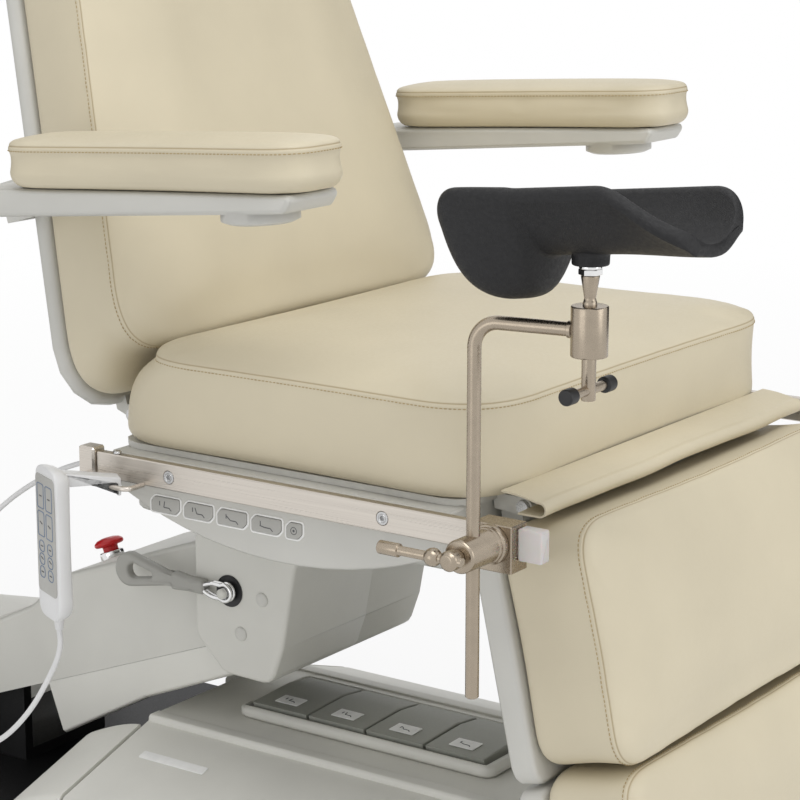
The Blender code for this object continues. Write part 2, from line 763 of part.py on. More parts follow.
def build_head_shell(name):
    """The head's whole shell, open below and behind, for its two covers to be cut from."""
    wall = HEAD_HALF_WIDTH - HEAD_WALL
    outline = head_front(0.0) + [(HEAD_FRONT - 0.020, HEAD_TOP - 0.019), (HEAD_FRONT - 0.042, HEAD_TOP)]
    outline += [(HEAD_REAR - 0.013, HEAD_TOP), (HEAD_REAR, HEAD_TOP - 0.040), (HEAD_REAR, HEAD_BOTTOM + 0.0365),
                (HEAD_REAR - 0.038, HEAD_BOTTOM + 0.001)]
    shell = make_solid(
        name, prism("X", rounded(outline, 0.018), -HEAD_HALF_WIDTH, HEAD_HALF_WIDTH), "head_plastic", "head")
    soften(shell, HEAD_ROUND, 4)
    foot, knee, chin = head_front(HEAD_WALL)
    roof = HEAD_TOP - HEAD_ROOF
    cavity = [(foot[0], 0.1), foot, knee, chin, (chin[0], roof), (2 * HEAD_REAR, roof), (2 * HEAD_REAR, 0.1)]
    cut(shell, prism("X", cavity, -wall, wall))
    return shell


def lever_point(distance):
    """A point on the lever's centre line, as (y, z)."""
    slope = math.radians(LEVER_SLOPE)
    return LEVER_Y + distance * math.cos(slope), LEVER_Z + distance * math.sin(slope)


def build_lever(housing):
    """A brake lever with a finger slot, on a fork that turns on the housing's pin."""
    face = -HEAD_HALF_WIDTH - GAP
    outer = face - LEVER_THICKNESS
    pin = [(0, LEVER_PIN), (0.5 * HEAD_WALL + LEVER_THICKNESS + 0.002, LEVER_PIN)]
    join(housing, turned((-1, 0, 0), (-HEAD_HALF_WIDTH + 0.5 * HEAD_WALL, LEVER_Y, LEVER_Z), pin))

    start = lever_point(LEVER_START)
    tongue_end = lever_point(LEVER_START + 0.012)
    eye = arc((LEVER_Y, LEVER_Z), FORK_EYE, 20 + LEVER_SLOPE, 340 + LEVER_SLOPE, 12)
    slope = LEVER_SLOPE
    eye += arc(tongue_end, FORK_TONGUE, slope - 90, slope + 90, 4)
    fork = make_solid("lever_fork", prism("X", eye, outer + 0.002, face - 0.002), "chrome", "brake")
    bore = LEVER_PIN + BORE_PLAY
    cut(fork, turned((-1, 0, 0), (0, LEVER_Y, LEVER_Z), [(0, bore), (0.3, bore)]))

    outline = arc(start, LEVER_NECK, slope + 90, slope + 270, 6)
    outline += arc(lever_point(LEVER_LENGTH), LEVER_END, slope - 90, slope + 90, 8)
    lever = make_solid("brake_lever", prism("X", outline, outer, face), "light_plastic", "brake")
    soften(lever, 0.003)
    slot = arc(lever_point(LEVER_SLOT_START), LEVER_SLOT_RADIUS - 0.003, slope + 90, slope + 270, 5)
    slot += arc(lever_point(LEVER_SLOT_END), LEVER_SLOT_RADIUS + 0.002, slope - 90, slope + 90, 5)
    cut(lever, prism("X", slot, 2 * outer, 0.0))
    socket = arc(lever_point(LEVER_START - 0.02), FORK_TONGUE + GAP, slope + 90, slope + 270, 4)
    socket += arc(tongue_end, FORK_TONGUE + GAP, slope - 90, slope + 90, 4)
    cut(lever, prism("X", socket, outer + 0.002 - GAP, face - 0.002 + GAP))


# Seat

def skirt_outline():
    """The skirt's side outline: a flat top and a long arc below."""
    top = RAIL_TOP - 0.0025
    center = (SKIRT_ARC_Y, SKIRT_LOWEST + SKIRT_ARC_RADIUS)
    front_angle = -90 - math.degrees(math.asin((SKIRT_ARC_Y - TRAY_FRONT - 0.006) / SKIRT_ARC_RADIUS))
    rear_angle = -90 + math.degrees(math.asin((TRAY_REAR - 0.014 - SKIRT_ARC_Y) / SKIRT_ARC_RADIUS))
    outline = [(TRAY_REAR - 0.002, top), (TRAY_FRONT, top)]
    return outline + arc(center, SKIRT_ARC_RADIUS, front_angle, rear_angle, 14)


def spacer(side, bolt_y):
    """A boss that holds the rail off the skirt."""
    reach = RAIL_FACE - RAIL_THICKNESS - GAP - SKIRT_FACE + 0.004
    profile = [(0, SPACER_RADIUS), (reach, SPACER_RADIUS)]
    return turned((side, 0, 0), (side * (SKIRT_FACE - 0.004), bolt_y, RAIL_TOP - RAIL_HEIGHT / 2), profile)


def build_seat_structure():
    top = RAIL_TOP - 0.0025
    tray_rings = []
    for inset, level in ((0.004, TRAY_BOTTOM), (0.0, TRAY_BOTTOM + 0.004), (0.0, top), (TRAY_WALL, top),
                         (TRAY_WALL, TRAY_BOTTOM + TRAY_WALL)):
        corners = rectangle(-TRAY_HALF_WIDTH + inset, TRAY_HALF_WIDTH - inset, TRAY_FRONT + inset, TRAY_REAR - inset)
        tray_rings.append([(x, y, level) for x, y in rounded(corners, 0.02 - inset, 3)])
    tray = make_solid("seat_tray", loft(tray_rings), "grey_plastic", "seat")
    hub_bottom = HEAD_TOP + 2 * GAP + BEARING_HEIGHT
    hub = [(0, HUB_RADIUS), (TRAY_BOTTOM - hub_bottom + 0.5 * TRAY_WALL, HUB_RADIUS)]
    join(tray, turned((0, 0, 1), (0, SWIVEL_Y, hub_bottom), hub, 24))
    join(tray, prism("X", skirt_outline(), TRAY_HALF_WIDTH - 0.5 * TRAY_WALL, SKIRT_FACE))
    gland = [(0, GLAND_RADIUS - 0.002), (0.5 * GLAND_LENGTH, GLAND_RADIUS), (GLAND_LENGTH + 0.5 * TRAY_WALL, GLAND_RADIUS)]
    join(tray, turned((0, -1, 0), (GLAND_X, TRAY_REAR + GLAND_LENGTH, GLAND_Z), gland, THIN_SIDES))
    for bolt_y in RAIL_BOLT_YS:
        join(tray, spacer(1, bolt_y))
    build_frame(top + GAP)
    build_console()


def build_frame(bottom):
    """The seat's frame plate with the lugs of the back hinge and the leg hinge."""
    top = bottom + FRAME_THICKNESS
    middle = (bottom + top) / 2
    plate = rounded(rectangle(-FRAME_HALF_WIDTH, FRAME_HALF_WIDTH, TRAY_FRONT - 0.006, TRAY_REAR + 0.006), 0.03, 3)
    frame = make_solid("seat_frame", prism("Z", plate, bottom, top), "grey_metal", "seat")
    half = LUG_THICKNESS / 2
    rear_root = TRAY_REAR - 0.008
    back_lug = [(SEAT_REAR + 0.003, top - 0.001), (rear_root, top - 0.001), (rear_root, bottom + 0.001)]
    back_lug += [(BACK_HINGE_Y - 0.004, bottom + 0.001)]
    back_lug += arc((BACK_HINGE_Y, BACK_HINGE_Z), BACK_LUG_RADIUS, -70, 170, 10)
    front_root = TRAY_FRONT + 0.004
    leg_lug = [(front_root, middle - 0.001), (front_root, top - 0.001)]
    leg_lug += arc((LEG_HINGE_Y, LEG_HINGE_Z), LEG_LUG_RADIUS, 75, 285, 10)
    leg_lug += [(TRAY_FRONT - 0.003, LEG_HINGE_Z - LEG_LUG_RADIUS + 0.002), (TRAY_FRONT - 0.0015, middle - 0.001)]
    bore = HINGE_RADIUS + BORE_PLAY
    for outline, place, across in (
        (back_lug, (BACK_HINGE_Y, BACK_HINGE_Z), BACK_LUG_X),
        (leg_lug, (LEG_HINGE_Y, LEG_HINGE_Z), LEG_LUG_X),
    ):
        for side in (-1, 1):
            join(frame, prism("X", outline, side * across - half, side * across + half))
        cut(frame, turned((1, 0, 0), (-0.4, *place), [(0, bore), (0.8, bore)]))
    for name, place, across in (
        ("back_hinge_shaft", (BACK_HINGE_Y, BACK_HINGE_Z), BACK_LUG_X),
        ("leg_hinge_shaft", (LEG_HINGE_Y, LEG_HINGE_Z), LEG_LUG_X),
    ):
        reach = across + LUG_THICKNESS
        shaft = [(0, HINGE_RADIUS), (2 * reach, HINGE_RADIUS)]
        make_solid(name, turned((1, 0, 0), (-reach, *place), shaft), "steel", "seat")


def key_outline(middle, length, play):
    half_length = length / 2 + play
    half_height = KEY_HEIGHT / 2 + play
    return [
        (middle - half_length, KEY_Z - half_height + KEY_CHAMFER),
        (middle - half_length + KEY_CHAMFER, KEY_Z - half_height),
        (middle + half_length, KEY_Z - half_height),
        (middle + half_length, KEY_Z + half_height - KEY_CHAMFER),
        (middle + half_length - KEY_CHAMFER, KEY_Z + half_height),
        (middle - half_length, KEY_Z + half_height),
    ]


def build_console():
    """The near skirt, with a pocket for each key."""
    console = make_solid(
        "side_console", prism("X", skirt_outline(), -SKIRT_FACE, -TRAY_HALF_WIDTH - GAP), "grey_plastic", "seat")
    soften(console, 0.003)
    outer = -SKIRT_FACE - KEY_PROUD
    pocket_floor = outer + KEY_DEPTH + KEY_TRAVEL + 0.0005
    for number in range(KEY_COUNT):
        length = KEY_LENGTH if number < KEY_COUNT - 1 else KEY_SHORT
        middle = KEY_FIRST_Y - number * KEY_PITCH + (KEY_LENGTH - length) / 2
        cut(console, prism("X", key_outline(middle, length, KEY_PLAY), outer - 0.01, pocket_floor))
        name = f"console_key_{number + 1}"
        make_body(f"{name}_axis", "seat", (outer, middle, KEY_Z))
        key = make_solid(name, prism("X", key_outline(middle, length, 0.0), outer, outer + KEY_DEPTH),
                         "light_plastic", f"{name}_axis")
        soften(key, 0.0008)
    for bolt_y in RAIL_BOLT_YS:
        join(console, spacer(-1, bolt_y))


def build_rails():
    low = RAIL_TOP - RAIL_HEIGHT
    middle_z = RAIL_TOP - RAIL_HEIGHT / 2
    for side, word in ((-1, "right"), (1, "left")):
        faces = sorted((side * RAIL_FACE, side * (RAIL_FACE - RAIL_THICKNESS)))
        rail = make_solid(f"side_rail_{word}", box((faces[0], RAIL_FRONT, low), (faces[1], RAIL_REAR, RAIL_TOP)),
                          "satin_steel", "seat")
        soften(rail, 0.001)
        if side < 0:
            build_rail_bolts(rail, middle_z)
        cap_low = (faces[0] - CAP_PROUD, RAIL_FRONT - GAP - CAP_LENGTH, low - CAP_PROUD)
        cap_high = (faces[1] + CAP_PROUD, RAIL_FRONT - GAP, RAIL_TOP + CAP_PROUD)
        soften(make_solid(f"rail_cap_{word}", box(cap_low, cap_high), "clear_plastic", "seat"), 0.004)
    stop_low = (-RAIL_FACE - STOP_PROUD, RAIL_REAR + GAP, low - STOP_PROUD)
    stop_high = (-RAIL_FACE + RAIL_THICKNESS + STOP_PROUD, RAIL_REAR + GAP + STOP_LENGTH, RAIL_TOP + STOP_PROUD)
    soften(make_solid("rail_stop", box(stop_low, stop_high), "satin_steel", "seat"), 0.002)


def build_rail_bolts(rail, middle_z):
    for number, bolt_y in enumerate(RAIL_BOLT_YS):
        cut(rail, turned((1, 0, 0), (-RAIL_FACE, bolt_y, middle_z), bolt_profile(BORE_PLAY)))
        bolt = turned((1, 0, 0), (-RAIL_FACE + 0.0002, bolt_y, middle_z), bolt_profile(0.0))
        make_solid(f"rail_bolt_{number + 1}", bolt, "steel", "seat")


def bolt_profile(play):
    """A countersunk bolt's profile from its head inwards; with play it is the hole, run through both faces."""
    start = -0.002 if play else 0.0
    end = RAIL_THICKNESS + 0.002 if play else RAIL_THICKNESS - 0.0002
    return [(start, BOLT_HEAD + play), (0.0004, BOLT_HEAD + play), (BOLT_SINK, BOLT_SHANK + play),
            (end, BOLT_SHANK + play)]


def build_seat_cushion():
    def rear_end(height):
        above = min(max(height - 0.03, 0.0), 0.95 * SEAT_REAR_ROUND)
        return SEAT_REAR - SEAT_REAR_ROUND + math.sqrt(SEAT_REAR_ROUND ** 2 - above ** 2)

    mesh = cushion(
        (SEAT_HALF_WIDTH, SEAT_HALF_WIDTH), lambda height: SEAT_FRONT, rear_end, SEAT_CORNER, SEAT_SIDE, SEAT_CROWN,
        lambda across, along, height: (across, along, SEAT_BASE + height))
    make_solid("seat_cushion", mesh, "vinyl", "seat")


def build_flap():
    """A vinyl strip folded back on itself between the seat's front edge and the leg rest's top."""
    top = SEAT_BASE + FLAP_RISE
    center = (FLAP_FOLD, SEAT_BASE - FLAP_FOLD_DROP)
    inner = FLAP_FOLD_RADIUS - FLAP_THICKNESS
    lower = center[1] - FLAP_FOLD_RADIUS
    outline = [(FLAP_START, top)] + arc(center, FLAP_FOLD_RADIUS, 78, 270, 9) + [(FLAP_END, lower)]
    outline += [(FLAP_END, lower + FLAP_THICKNESS)] + arc(center, inner, 270, 78, 9)
    outline += [(FLAP_START, top - FLAP_THICKNESS)]
    make_solid("seat_flap", prism("X", outline, -FLAP_HALF_WIDTH, FLAP_HALF_WIDTH), "vinyl", "seat")


# Handset

def handset_place(back, across, height):
    """A world point from the handset's own axes: towards its back, across its width, and up."""
    turn = math.radians(HANDSET_TURN)
    to_back = Vector((math.cos(turn), -math.sin(turn), 0))
    to_side = Vector((math.sin(turn), math.cos(turn), 0))
    return Vector((HANDSET_X, HANDSET_Y, HANDSET_Z)) + to_back * back + to_side * across + Vector((0, 0, height))


def handset_prism(outline, low, high):
    """An outline of (back, height) points, extruded across the handset's width."""
    return loft([[handset_place(back, across, height) for back, height in outline] for across in (low, high)])


def build_handset():
    half = HANDSET_DEPTH / 2
    body = []
    for inset, back in ((0.004, -half), (0.0, -half + 0.004), (0.0, half - 0.005), (0.006, half)):
        corners = rectangle(-HANDSET_WIDTH / 2 + inset, HANDSET_WIDTH / 2 - inset,
                            -HANDSET_HEIGHT / 2 + inset, HANDSET_HEIGHT / 2 - inset)
        body.append([handset_place(back, across, height) for across, height in rounded(corners, 0.012 - inset, 3)])
    handset = make_solid("handset", loft(body), "light_plastic", "seat")
    under = HOOK_Z + HOOK_WIRE + GAP - HANDSET_Z
    reach = half + HANGER_LENGTH
    hanger = [(half - 0.004, under), (reach - HANGER_LIP, under), (reach - HANGER_LIP, under - 0.012),
              (reach, under - 0.012), (reach, under + 0.4 * HANGER_HEIGHT), (half - 0.004, under + HANGER_HEIGHT)]
    join(handset, handset_prism(hanger, -HANGER_HALF_WIDTH, HANGER_HALF_WIDTH))
    relief = [(0, 0.8 * RELIEF_RADIUS), (RELIEF_LENGTH + 0.003, RELIEF_RADIUS)]
    foot = handset_place(0, 0, -HANDSET_HEIGHT / 2 - RELIEF_LENGTH)
    join(handset, turned((0, 0, 1), foot, relief, THIN_SIDES))

    outer = -RAIL_FACE - HOOK_REACH
    corner = 0.006
    wire = [(-RAIL_FACE - GAP, HOOK_FRONT_Y, HOOK_Z)]
    wire += [(x, y, HOOK_Z) for x, y in arc((outer + corner, HOOK_FRONT_Y + corner), corner, -90, -180, 4)]
    rear_y = RAIL_REAR + 0.7 * STOP_LENGTH
    wire += [(x, y, HOOK_Z) for x, y in arc((outer + corner, rear_y - corner), corner, 180, 90, 4)]
    wire += [(-RAIL_FACE - STOP_PROUD - GAP, rear_y, HOOK_Z)]
    make_solid("handset_hook", swept(wire, HOOK_WIRE, 8), "satin_steel", "seat")


CORD_ROUTE = (
    (-0.364, 0.142, 0.272),
    (-0.366, 0.172, 0.226),
    (-0.366, 0.212, 0.188),
    (-0.360, 0.258, 0.168),
    (-0.346, 0.306, 0.172),
    (-0.322, 0.350, 0.208),
    (-0.290, 0.374, 0.268),
    (-0.256, 0.366, 0.330),
    (-0.224, 0.330, 0.382),
    (-0.198, 0.278, 0.418),
    (-0.180, 0.222, 0.434),
)


def smooth_route(points, per_span):
    """Catmull-Rom points through a route, with its two ends carried straight on."""
    points = [Vector(point) for point in points]
    padded = [2 * points[0] - points[1], *points, 2 * points[-1] - points[-2]]
    result = []
    for before, start, end, after in zip(padded, padded[1:], padded[2:], padded[3:]):
        for step in range(per_span):
            t = step / per_span
            result.append(0.5 * (2 * start + (end - before) * t + (2 * before - 5 * start + 4 * end - after) * t * t
                                 + (3 * start - before - 3 * end + after) * t ** 3))
    return result + [points[-1]]


def build_cord():
    """The handset's cord: it hangs in a loop from the handset to the gland under the seat."""
    relief_end = handset_place(0, 0, -HANDSET_HEIGHT / 2 - RELIEF_LENGTH - GAP)
    start = [relief_end, relief_end - Vector((0, 0, 0.018))]
    gland_end = Vector((GLAND_X, TRAY_REAR + GLAND_LENGTH + GAP, GLAND_Z))
    end = [gland_end + Vector((0, 0.020, 0)), gland_end]
    points = smooth_route([*start, *CORD_ROUTE, *end], 4)
    curve = bpy.data.curves.new("handset_cord", "CURVE")
    curve.dimensions = "3D"
    curve.bevel_depth = CORD_RADIUS
    curve.bevel_resolution = 2
    curve.use_fill_caps = True
    spline = curve.splines.new("POLY")
    spline.points.add(len(points) - 1)
    for target, point in zip(spline.points, points):
        target.co = (*point, 1.0)
    curve.materials.append(MATERIALS["light_plastic"])
    cord = bpy.data.objects.new("handset_cord", curve)
    bpy.context.scene.collection.objects.link(cord)
    cord.parent = bpy.data.objects["seat"]
    cord.matrix_parent_inverse = FRAMES["seat"].inverted()


# Back, in a frame with Z up the back and Y square to it

def back_half_width(height):
    share = (height - BACK_LOW) / (BACK_TOP - BACK_LOW)
    return BACK_HALF_LOW + (BACK_HALF_HIGH - BACK_HALF_LOW) * share


def build_back():
    front = BACK_REAR + GAP
    rear = front + BACK_SHELL
    low_half = back_half_width(BACK_SHELL_LOW) - BACK_SHELL_INSET
    high = BACK_TOP - BACK_SHELL_INSET
    high_half = back_half_width(high) - BACK_SHELL_INSET
    corners = [(-low_half, BACK_SHELL_LOW), (low_half, BACK_SHELL_LOW), (high_half, high), (-high_half, high)]
    shell = make_solid("backrest_shell", prism("Y", rounded(corners, BACK_CORNER, 4), front, rear),
                       "grey_plastic", "back", local=True)
    soften(shell, 0.007)
    ear = arc((0, 0), BACK_LUG_RADIUS, 90, 290, 8)
    ear += [(rear - 0.008, BACK_SHELL_LOW - 0.006), (rear - 0.008, BACK_SHELL_LOW + 0.024)]
    ear += [(front + 0.001, BACK_SHELL_LOW + 0.024), (front + 0.001, BACK_LUG_RADIUS)]
    ear_outer = BACK_LUG_X - LUG_THICKNESS / 2 - GAP
    for side in (-1, 1):
        inner_face, outer_face = sorted((side * (ear_outer - EAR_THICKNESS), side * ear_outer))
        join(shell, prism("X", ear, inner_face, outer_face))
    bore = HINGE_RADIUS + BORE_PLAY
    cut(shell, turned((1, 0, 0), (-0.4, 0, 0), [(0, bore), (0.8, bore)]))
    pivot = FRAMES["back"].inverted() @ Vector((ARMREST_X, ARMREST_PIVOT_Y, ARMREST_PIVOT_Z))
    for side in (-1, 1):
        join_bracket(shell, side, rear, pivot)
    mesh = cushion(
        (BACK_HALF_LOW, BACK_HALF_HIGH), back_low_edge, lambda height: BACK_TOP, BACK_CORNER, BACK_SIDE, BACK_CROWN,
        lambda across, along, height: (across, BACK_REAR - height, along))
    make_solid("backrest_cushion", mesh, "vinyl", "back", local=True)


def back_low_edge(height):
    """The cushion's lower end, cut back towards its face so that it clears the seat's rounded edge."""
    return BACK_LOW + BACK_LOW_RISE * smooth_step((height - 0.025) / 0.04)


def join_bracket(shell, side, rear, pivot):
    """An L-shaped bracket behind the shell that carries an armrest's pin beside the cushion."""
    outline = [(BRACKET_INNER, rear - 0.001), (BRACKET_INNER, rear + BRACKET_WALL), (BRACKET_X, rear + BRACKET_WALL),
               (BRACKET_X, pivot.y - BRACKET_HALF_HEIGHT), (BRACKET_X - BRACKET_WALL, pivot.y - BRACKET_HALF_HEIGHT),
               (BRACKET_X - BRACKET_WALL, rear - 0.001)]
    placed = [(side * x, y) for x, y in outline]
    join(shell, prism("Z", placed, pivot.z - BRACKET_HALF_HEIGHT, pivot.z + BRACKET_HALF_HEIGHT))
    pin = [(0, ARMREST_PIN), (ARMREST_X - BRACKET_X + 0.5 * BRACKET_WALL, ARMREST_PIN)]
    join(shell, turned((side, 0, 0), (side * (BRACKET_X - 0.5 * BRACKET_WALL), pivot.y, pivot.z), pin))


def build_armrest(side, word):
    body = f"armrest_{word}"
    top = ARMREST_BASE_TOP
    outline = rounded(
        [(0.018, top), (0.018, -top), (-0.02, -top - 0.002), (-ARMREST_BASE_LENGTH + 0.012, -0.004),
         (-ARMREST_BASE_LENGTH, top)], 0.008)
    base = make_solid(f"armrest_base_{word}", prism("X", outline, -ARMREST_BASE_HALF, ARMREST_BASE_HALF),
                      "grey_plastic", body, local=True)
    soften(base, 0.004)
    bore = ARMREST_PIN + BORE_PLAY
    cut(base, turned((side, 0, 0), (-side * 2 * ARMREST_BASE_HALF, 0, 0),
                     [(0, bore), (2 * ARMREST_BASE_HALF + 2 * GAP, bore)]))
    boss = [(0, 0.8 * ARMREST_BOSS_RADIUS), (0.003, ARMREST_BOSS_RADIUS), (0.022, ARMREST_BOSS_RADIUS)]
    join(base, turned((0, 0, 1), (0, ARMREST_BOSS_Y, -0.0165), boss, 20))
    mesh = cushion(
        (PAD_HALF, PAD_HALF), lambda height: PAD_FRONT, lambda height: PAD_REAR, PAD_CORNER, PAD_SIDE, PAD_CROWN,
        lambda across, along, height: (across, along, top + GAP + height))
    make_solid(f"armrest_pad_{word}", mesh, "vinyl", body, local=True)


# Leg rest and foot rest, in a frame with Z up the leg rest and Y square to its back

def leg_cushion(low, high):
    return cushion(
        (LEG_HALF_WIDTH, LEG_HALF_WIDTH), lambda height: low, lambda height: high, LEG_CORNER, LEG_SIDE, LEG_CROWN,
        lambda across, along, height: (across, LEG_FACE - GAP - height, along))


def build_leg_rest():
    face = LEG_FACE
    back = face + LEG_SHELL
    outline = rounded(rectangle(-LEG_HALF_WIDTH, LEG_HALF_WIDTH, LEG_SHELL_BOTTOM, LEG_SHELL_TOP), 0.018, 3)
    shell = make_solid("legrest_shell", prism("Y", outline, face, back), "grey_plastic", "leg", local=True)
    soften(shell, 0.005)
    ear = arc((0, 0), LEG_LUG_RADIUS, 60, 255, 8)
    ear += [(face + 0.001, -LEG_LUG_RADIUS - 0.0015), (face + 0.001, LEG_SHELL_TOP - 0.010)]
    ear += [(back - 0.006, LEG_SHELL_TOP - 0.010), (back - 0.006, -0.004)]
    ear_outer = LEG_LUG_X - LUG_THICKNESS / 2 - GAP
    for side in (-1, 1):
        inner_face, outer_face = sorted((side * (ear_outer - EAR_THICKNESS), side * ear_outer))
        join(shell, prism("X", ear, inner_face, outer_face))
    bore = HINGE_RADIUS + BORE_PLAY
    cut(shell, turned((1, 0, 0), (-0.4, 0, 0), [(0, bore), (0.8, bore)]))
    make_solid("legrest_cushion", leg_cushion(LEG_BOTTOM, LEG_TOP), "vinyl", "leg", local=True)

    foot_top = LEG_BOTTOM - FOOT_GAP
    foot_bottom = foot_top - FOOT_LENGTH
    shell_top = LEG_SHELL_BOTTOM - FOOT_GAP
    outline = rounded(rectangle(-LEG_HALF_WIDTH, LEG_HALF_WIDTH, foot_bottom - 0.004, shell_top), 0.018, 3)
    foot = make_solid("footrest_shell", prism("Y", outline, face, back), "grey_plastic", "foot", local=True)
    soften(foot, 0.005)
    for side in (-1, 1):
        low = side * FOOT_BAR_X - FOOT_BAR_HALF
        bar = box((low, back - 0.004, foot_bottom + 0.02), (low + 2 * FOOT_BAR_HALF, back + GAP + FOOT_BAR_DEPTH,
                                                            shell_top - 0.008))
        join(foot, bar)
        slider = box((low, back + GAP, foot_bottom + 0.03),
                     (low + 2 * FOOT_BAR_HALF, back + GAP + 0.9 * FOOT_BAR_DEPTH, FOOT_BAR_TOP))
        join(foot, slider)
    make_solid("footrest_cushion", leg_cushion(foot_bottom, foot_top), "vinyl", "foot", local=True)


# Leg support

def build_clamp():
    """A C-shaped clamp round the near rail, and the collar that turns on its face."""
    front = -RAIL_FACE - GAP
    back = -RAIL_FACE + RAIL_THICKNESS + GAP
    top = RAIL_TOP + GAP
    low = RAIL_TOP - RAIL_HEIGHT - GAP
    outer = front - CLAMP_FRONT_WALL
    rear = back + CLAMP_BACK_WALL
    outline = [(outer, low - CLAMP_OVER), (outer, top + CLAMP_ABOVE), (rear, top + CLAMP_ABOVE),
               (rear, top - CLAMP_LIP), (back, top - CLAMP_LIP), (back, top), (front, top), (front, low),
               (back, low), (back, low + CLAMP_LIP), (rear, low + CLAMP_LIP), (rear, low - CLAMP_OVER)]
    clamp = make_solid("rail_clamp", prism("Y", outline, SUPPORT_Y - CLAMP_LENGTH / 2, SUPPORT_Y + CLAMP_LENGTH / 2),
                       "nickel", "clamp")
    soften(clamp, 0.001)
    inner_x = outer - GAP
    length = inner_x - COLLAR_OUTER_X
    collar_profile = [(0, COLLAR_RADIUS + 0.003), (0.006, COLLAR_RADIUS + 0.003), (0.0065, COLLAR_RADIUS),
                      (length - 0.0015, COLLAR_RADIUS), (length, COLLAR_RADIUS - 0.0015)]
    collar = make_solid("clamp_collar", turned((-1, 0, 0), (inner_x, SUPPORT_Y, COLLAR_Z), collar_profile, 20),
                        "nickel", "collar")
    bore = ROD_RADIUS + BORE_PLAY
    cut(collar, turned((0, 0, 1), (SUPPORT_X, SUPPORT_Y, COLLAR_Z - 0.1), [(0, bore), (0.2, bore)]))
    hub_foot = (COLLAR_OUTER_X - GAP, SUPPORT_Y, COLLAR_Z)
    hub = [(0, HANDLE_HUB_RADIUS - 0.002), (0.4 * HANDLE_HUB_LENGTH, HANDLE_HUB_RADIUS),
           (0.8 * HANDLE_HUB_LENGTH, HANDLE_HUB_RADIUS), (HANDLE_HUB_LENGTH, HANDLE_HUB_RADIUS - 0.003)]
    handle = make_solid("clamp_handle", turned((-1, 0, 0), hub_foot, hub), "nickel", "handle")
    bar_x = COLLAR_OUTER_X - GAP - 0.6 * HANDLE_HUB_LENGTH
    bar_length = HANDLE_BAR_REAR + HANDLE_BAR_FRONT
    sleeve_start = bar_length - HANDLE_SLEEVE_LENGTH
    bar = [(0, HANDLE_BAR_RADIUS), (sleeve_start, HANDLE_BAR_RADIUS), (sleeve_start, HANDLE_SLEEVE_RADIUS),
           (bar_length, HANDLE_SLEEVE_RADIUS)]
    join(handle, turned((0, 1, 0), (bar_x, SUPPORT_Y - HANDLE_BAR_FRONT, COLLAR_Z), bar, 12))


def build_rod():
    """A rod bent forwards to the barrel that carries the crutch and its lock bar."""
    ahead = BARREL.xy - Vector((SUPPORT_X, SUPPORT_Y))
    toward = Vector((*ahead.normalized(), 0))
    corner = Vector((SUPPORT_X, SUPPORT_Y, ROD_BEND_Z))
    center = corner + toward * ROD_BEND_RADIUS - Vector((0, 0, ROD_BEND_RADIUS))
    path = [Vector((SUPPORT_X, SUPPORT_Y, ROD_BOTTOM))]
    for step in range(7):
        angle = math.radians(15 * step)
        path.append(center - toward * ROD_BEND_RADIUS * math.cos(angle)
                    + Vector((0, 0, ROD_BEND_RADIUS * math.sin(angle))))
    path.append(corner + toward * (ahead.length - BARREL_BORE - 0.004))
    rod = make_solid("support_rod", swept(path, ROD_RADIUS, 12), "nickel", "rod")
    height = BARREL_TOP - BARREL_BOTTOM
    barrel = [(0, BARREL_RADIUS - 0.0015), (0.0015, BARREL_RADIUS), (height - 0.0015, BARREL_RADIUS),
              (height, BARREL_RADIUS - 0.0015)]
    join(rod, turned((0, 0, 1), (BARREL.x, BARREL.y, BARREL_BOTTOM), barrel, 20))
    cut(rod, turned((0, 0, 1), (BARREL.x, BARREL.y, BARREL_BOTTOM - 0.02), [(0, BARREL_BORE), (0.12, BARREL_BORE)]))

    shaft_top = STEM_FOOT - GAP
    shaft = [(0, STEM_RADIUS), (shaft_top - LOCK_BAR_Z, STEM_RADIUS)]
    lock = make_solid("lock_bar", turned((0, 0, 1), (BARREL.x, BARREL.y, LOCK_BAR_Z), shaft, 12), "nickel", "lock")
    bar = [(0, LOCK_CAP_RADIUS), (LOCK_CAP_LENGTH, LOCK_CAP_RADIUS), (LOCK_CAP_LENGTH, LOCK_BAR_RADIUS),
           (2 * LOCK_BAR_HALF - LOCK_CAP_LENGTH, LOCK_BAR_RADIUS),
           (2 * LOCK_BAR_HALF - LOCK_CAP_LENGTH, LOCK_CAP_RADIUS), (2 * LOCK_BAR_HALF, LOCK_CAP_RADIUS)]
    join(lock, turned((1, 0, 0), (BARREL.x - LOCK_BAR_HALF, BARREL.y, LOCK_BAR_Z), bar, 12))


def build_crutch():
    foot = (BARREL.x, BARREL.y, STEM_FOOT)
    above = BARREL_TOP + GAP - STEM_FOOT
    stem_length = STEM_TOP - STEM_FOOT
    stem = [(0, STEM_RADIUS), (above, STEM_RADIUS), (stem_length, STEM_RADIUS + 0.002)]
    stem += [(stem_length, NUT_RADIUS), (stem_length + NUT_HEIGHT, NUT_RADIUS)]
    make_solid("crutch_stem", turned((0, 0, 1), foot, stem, 12), "nickel", "crutch")
    shell = make_solid("crutch_shell", crutch_mesh(), "black_foam", "crutch")
    socket_foot = STEM_TOP + NUT_HEIGHT + GAP
    share = (BARREL.y - CRUTCH_THIGH_Y) / (CRUTCH_CALF_Y - CRUTCH_THIGH_Y)
    socket_top = crutch_surface(share, 0.0).z - 0.8 * CRUTCH_THICKNESS
    socket = [(0, SOCKET_RADIUS), (socket_top - socket_foot, SOCKET_RADIUS + 0.004)]
    join(shell, turned((0, 0, 1), (BARREL.x, BARREL.y, socket_foot), socket, 16))


def end_round(distance, reach, least):
    """A quarter ellipse from the least value at an end to 1 beyond its reach."""
    share = min(distance / reach, 1.0)
    return least + (1 - least) * math.sqrt(1 - (1 - share) ** 2)


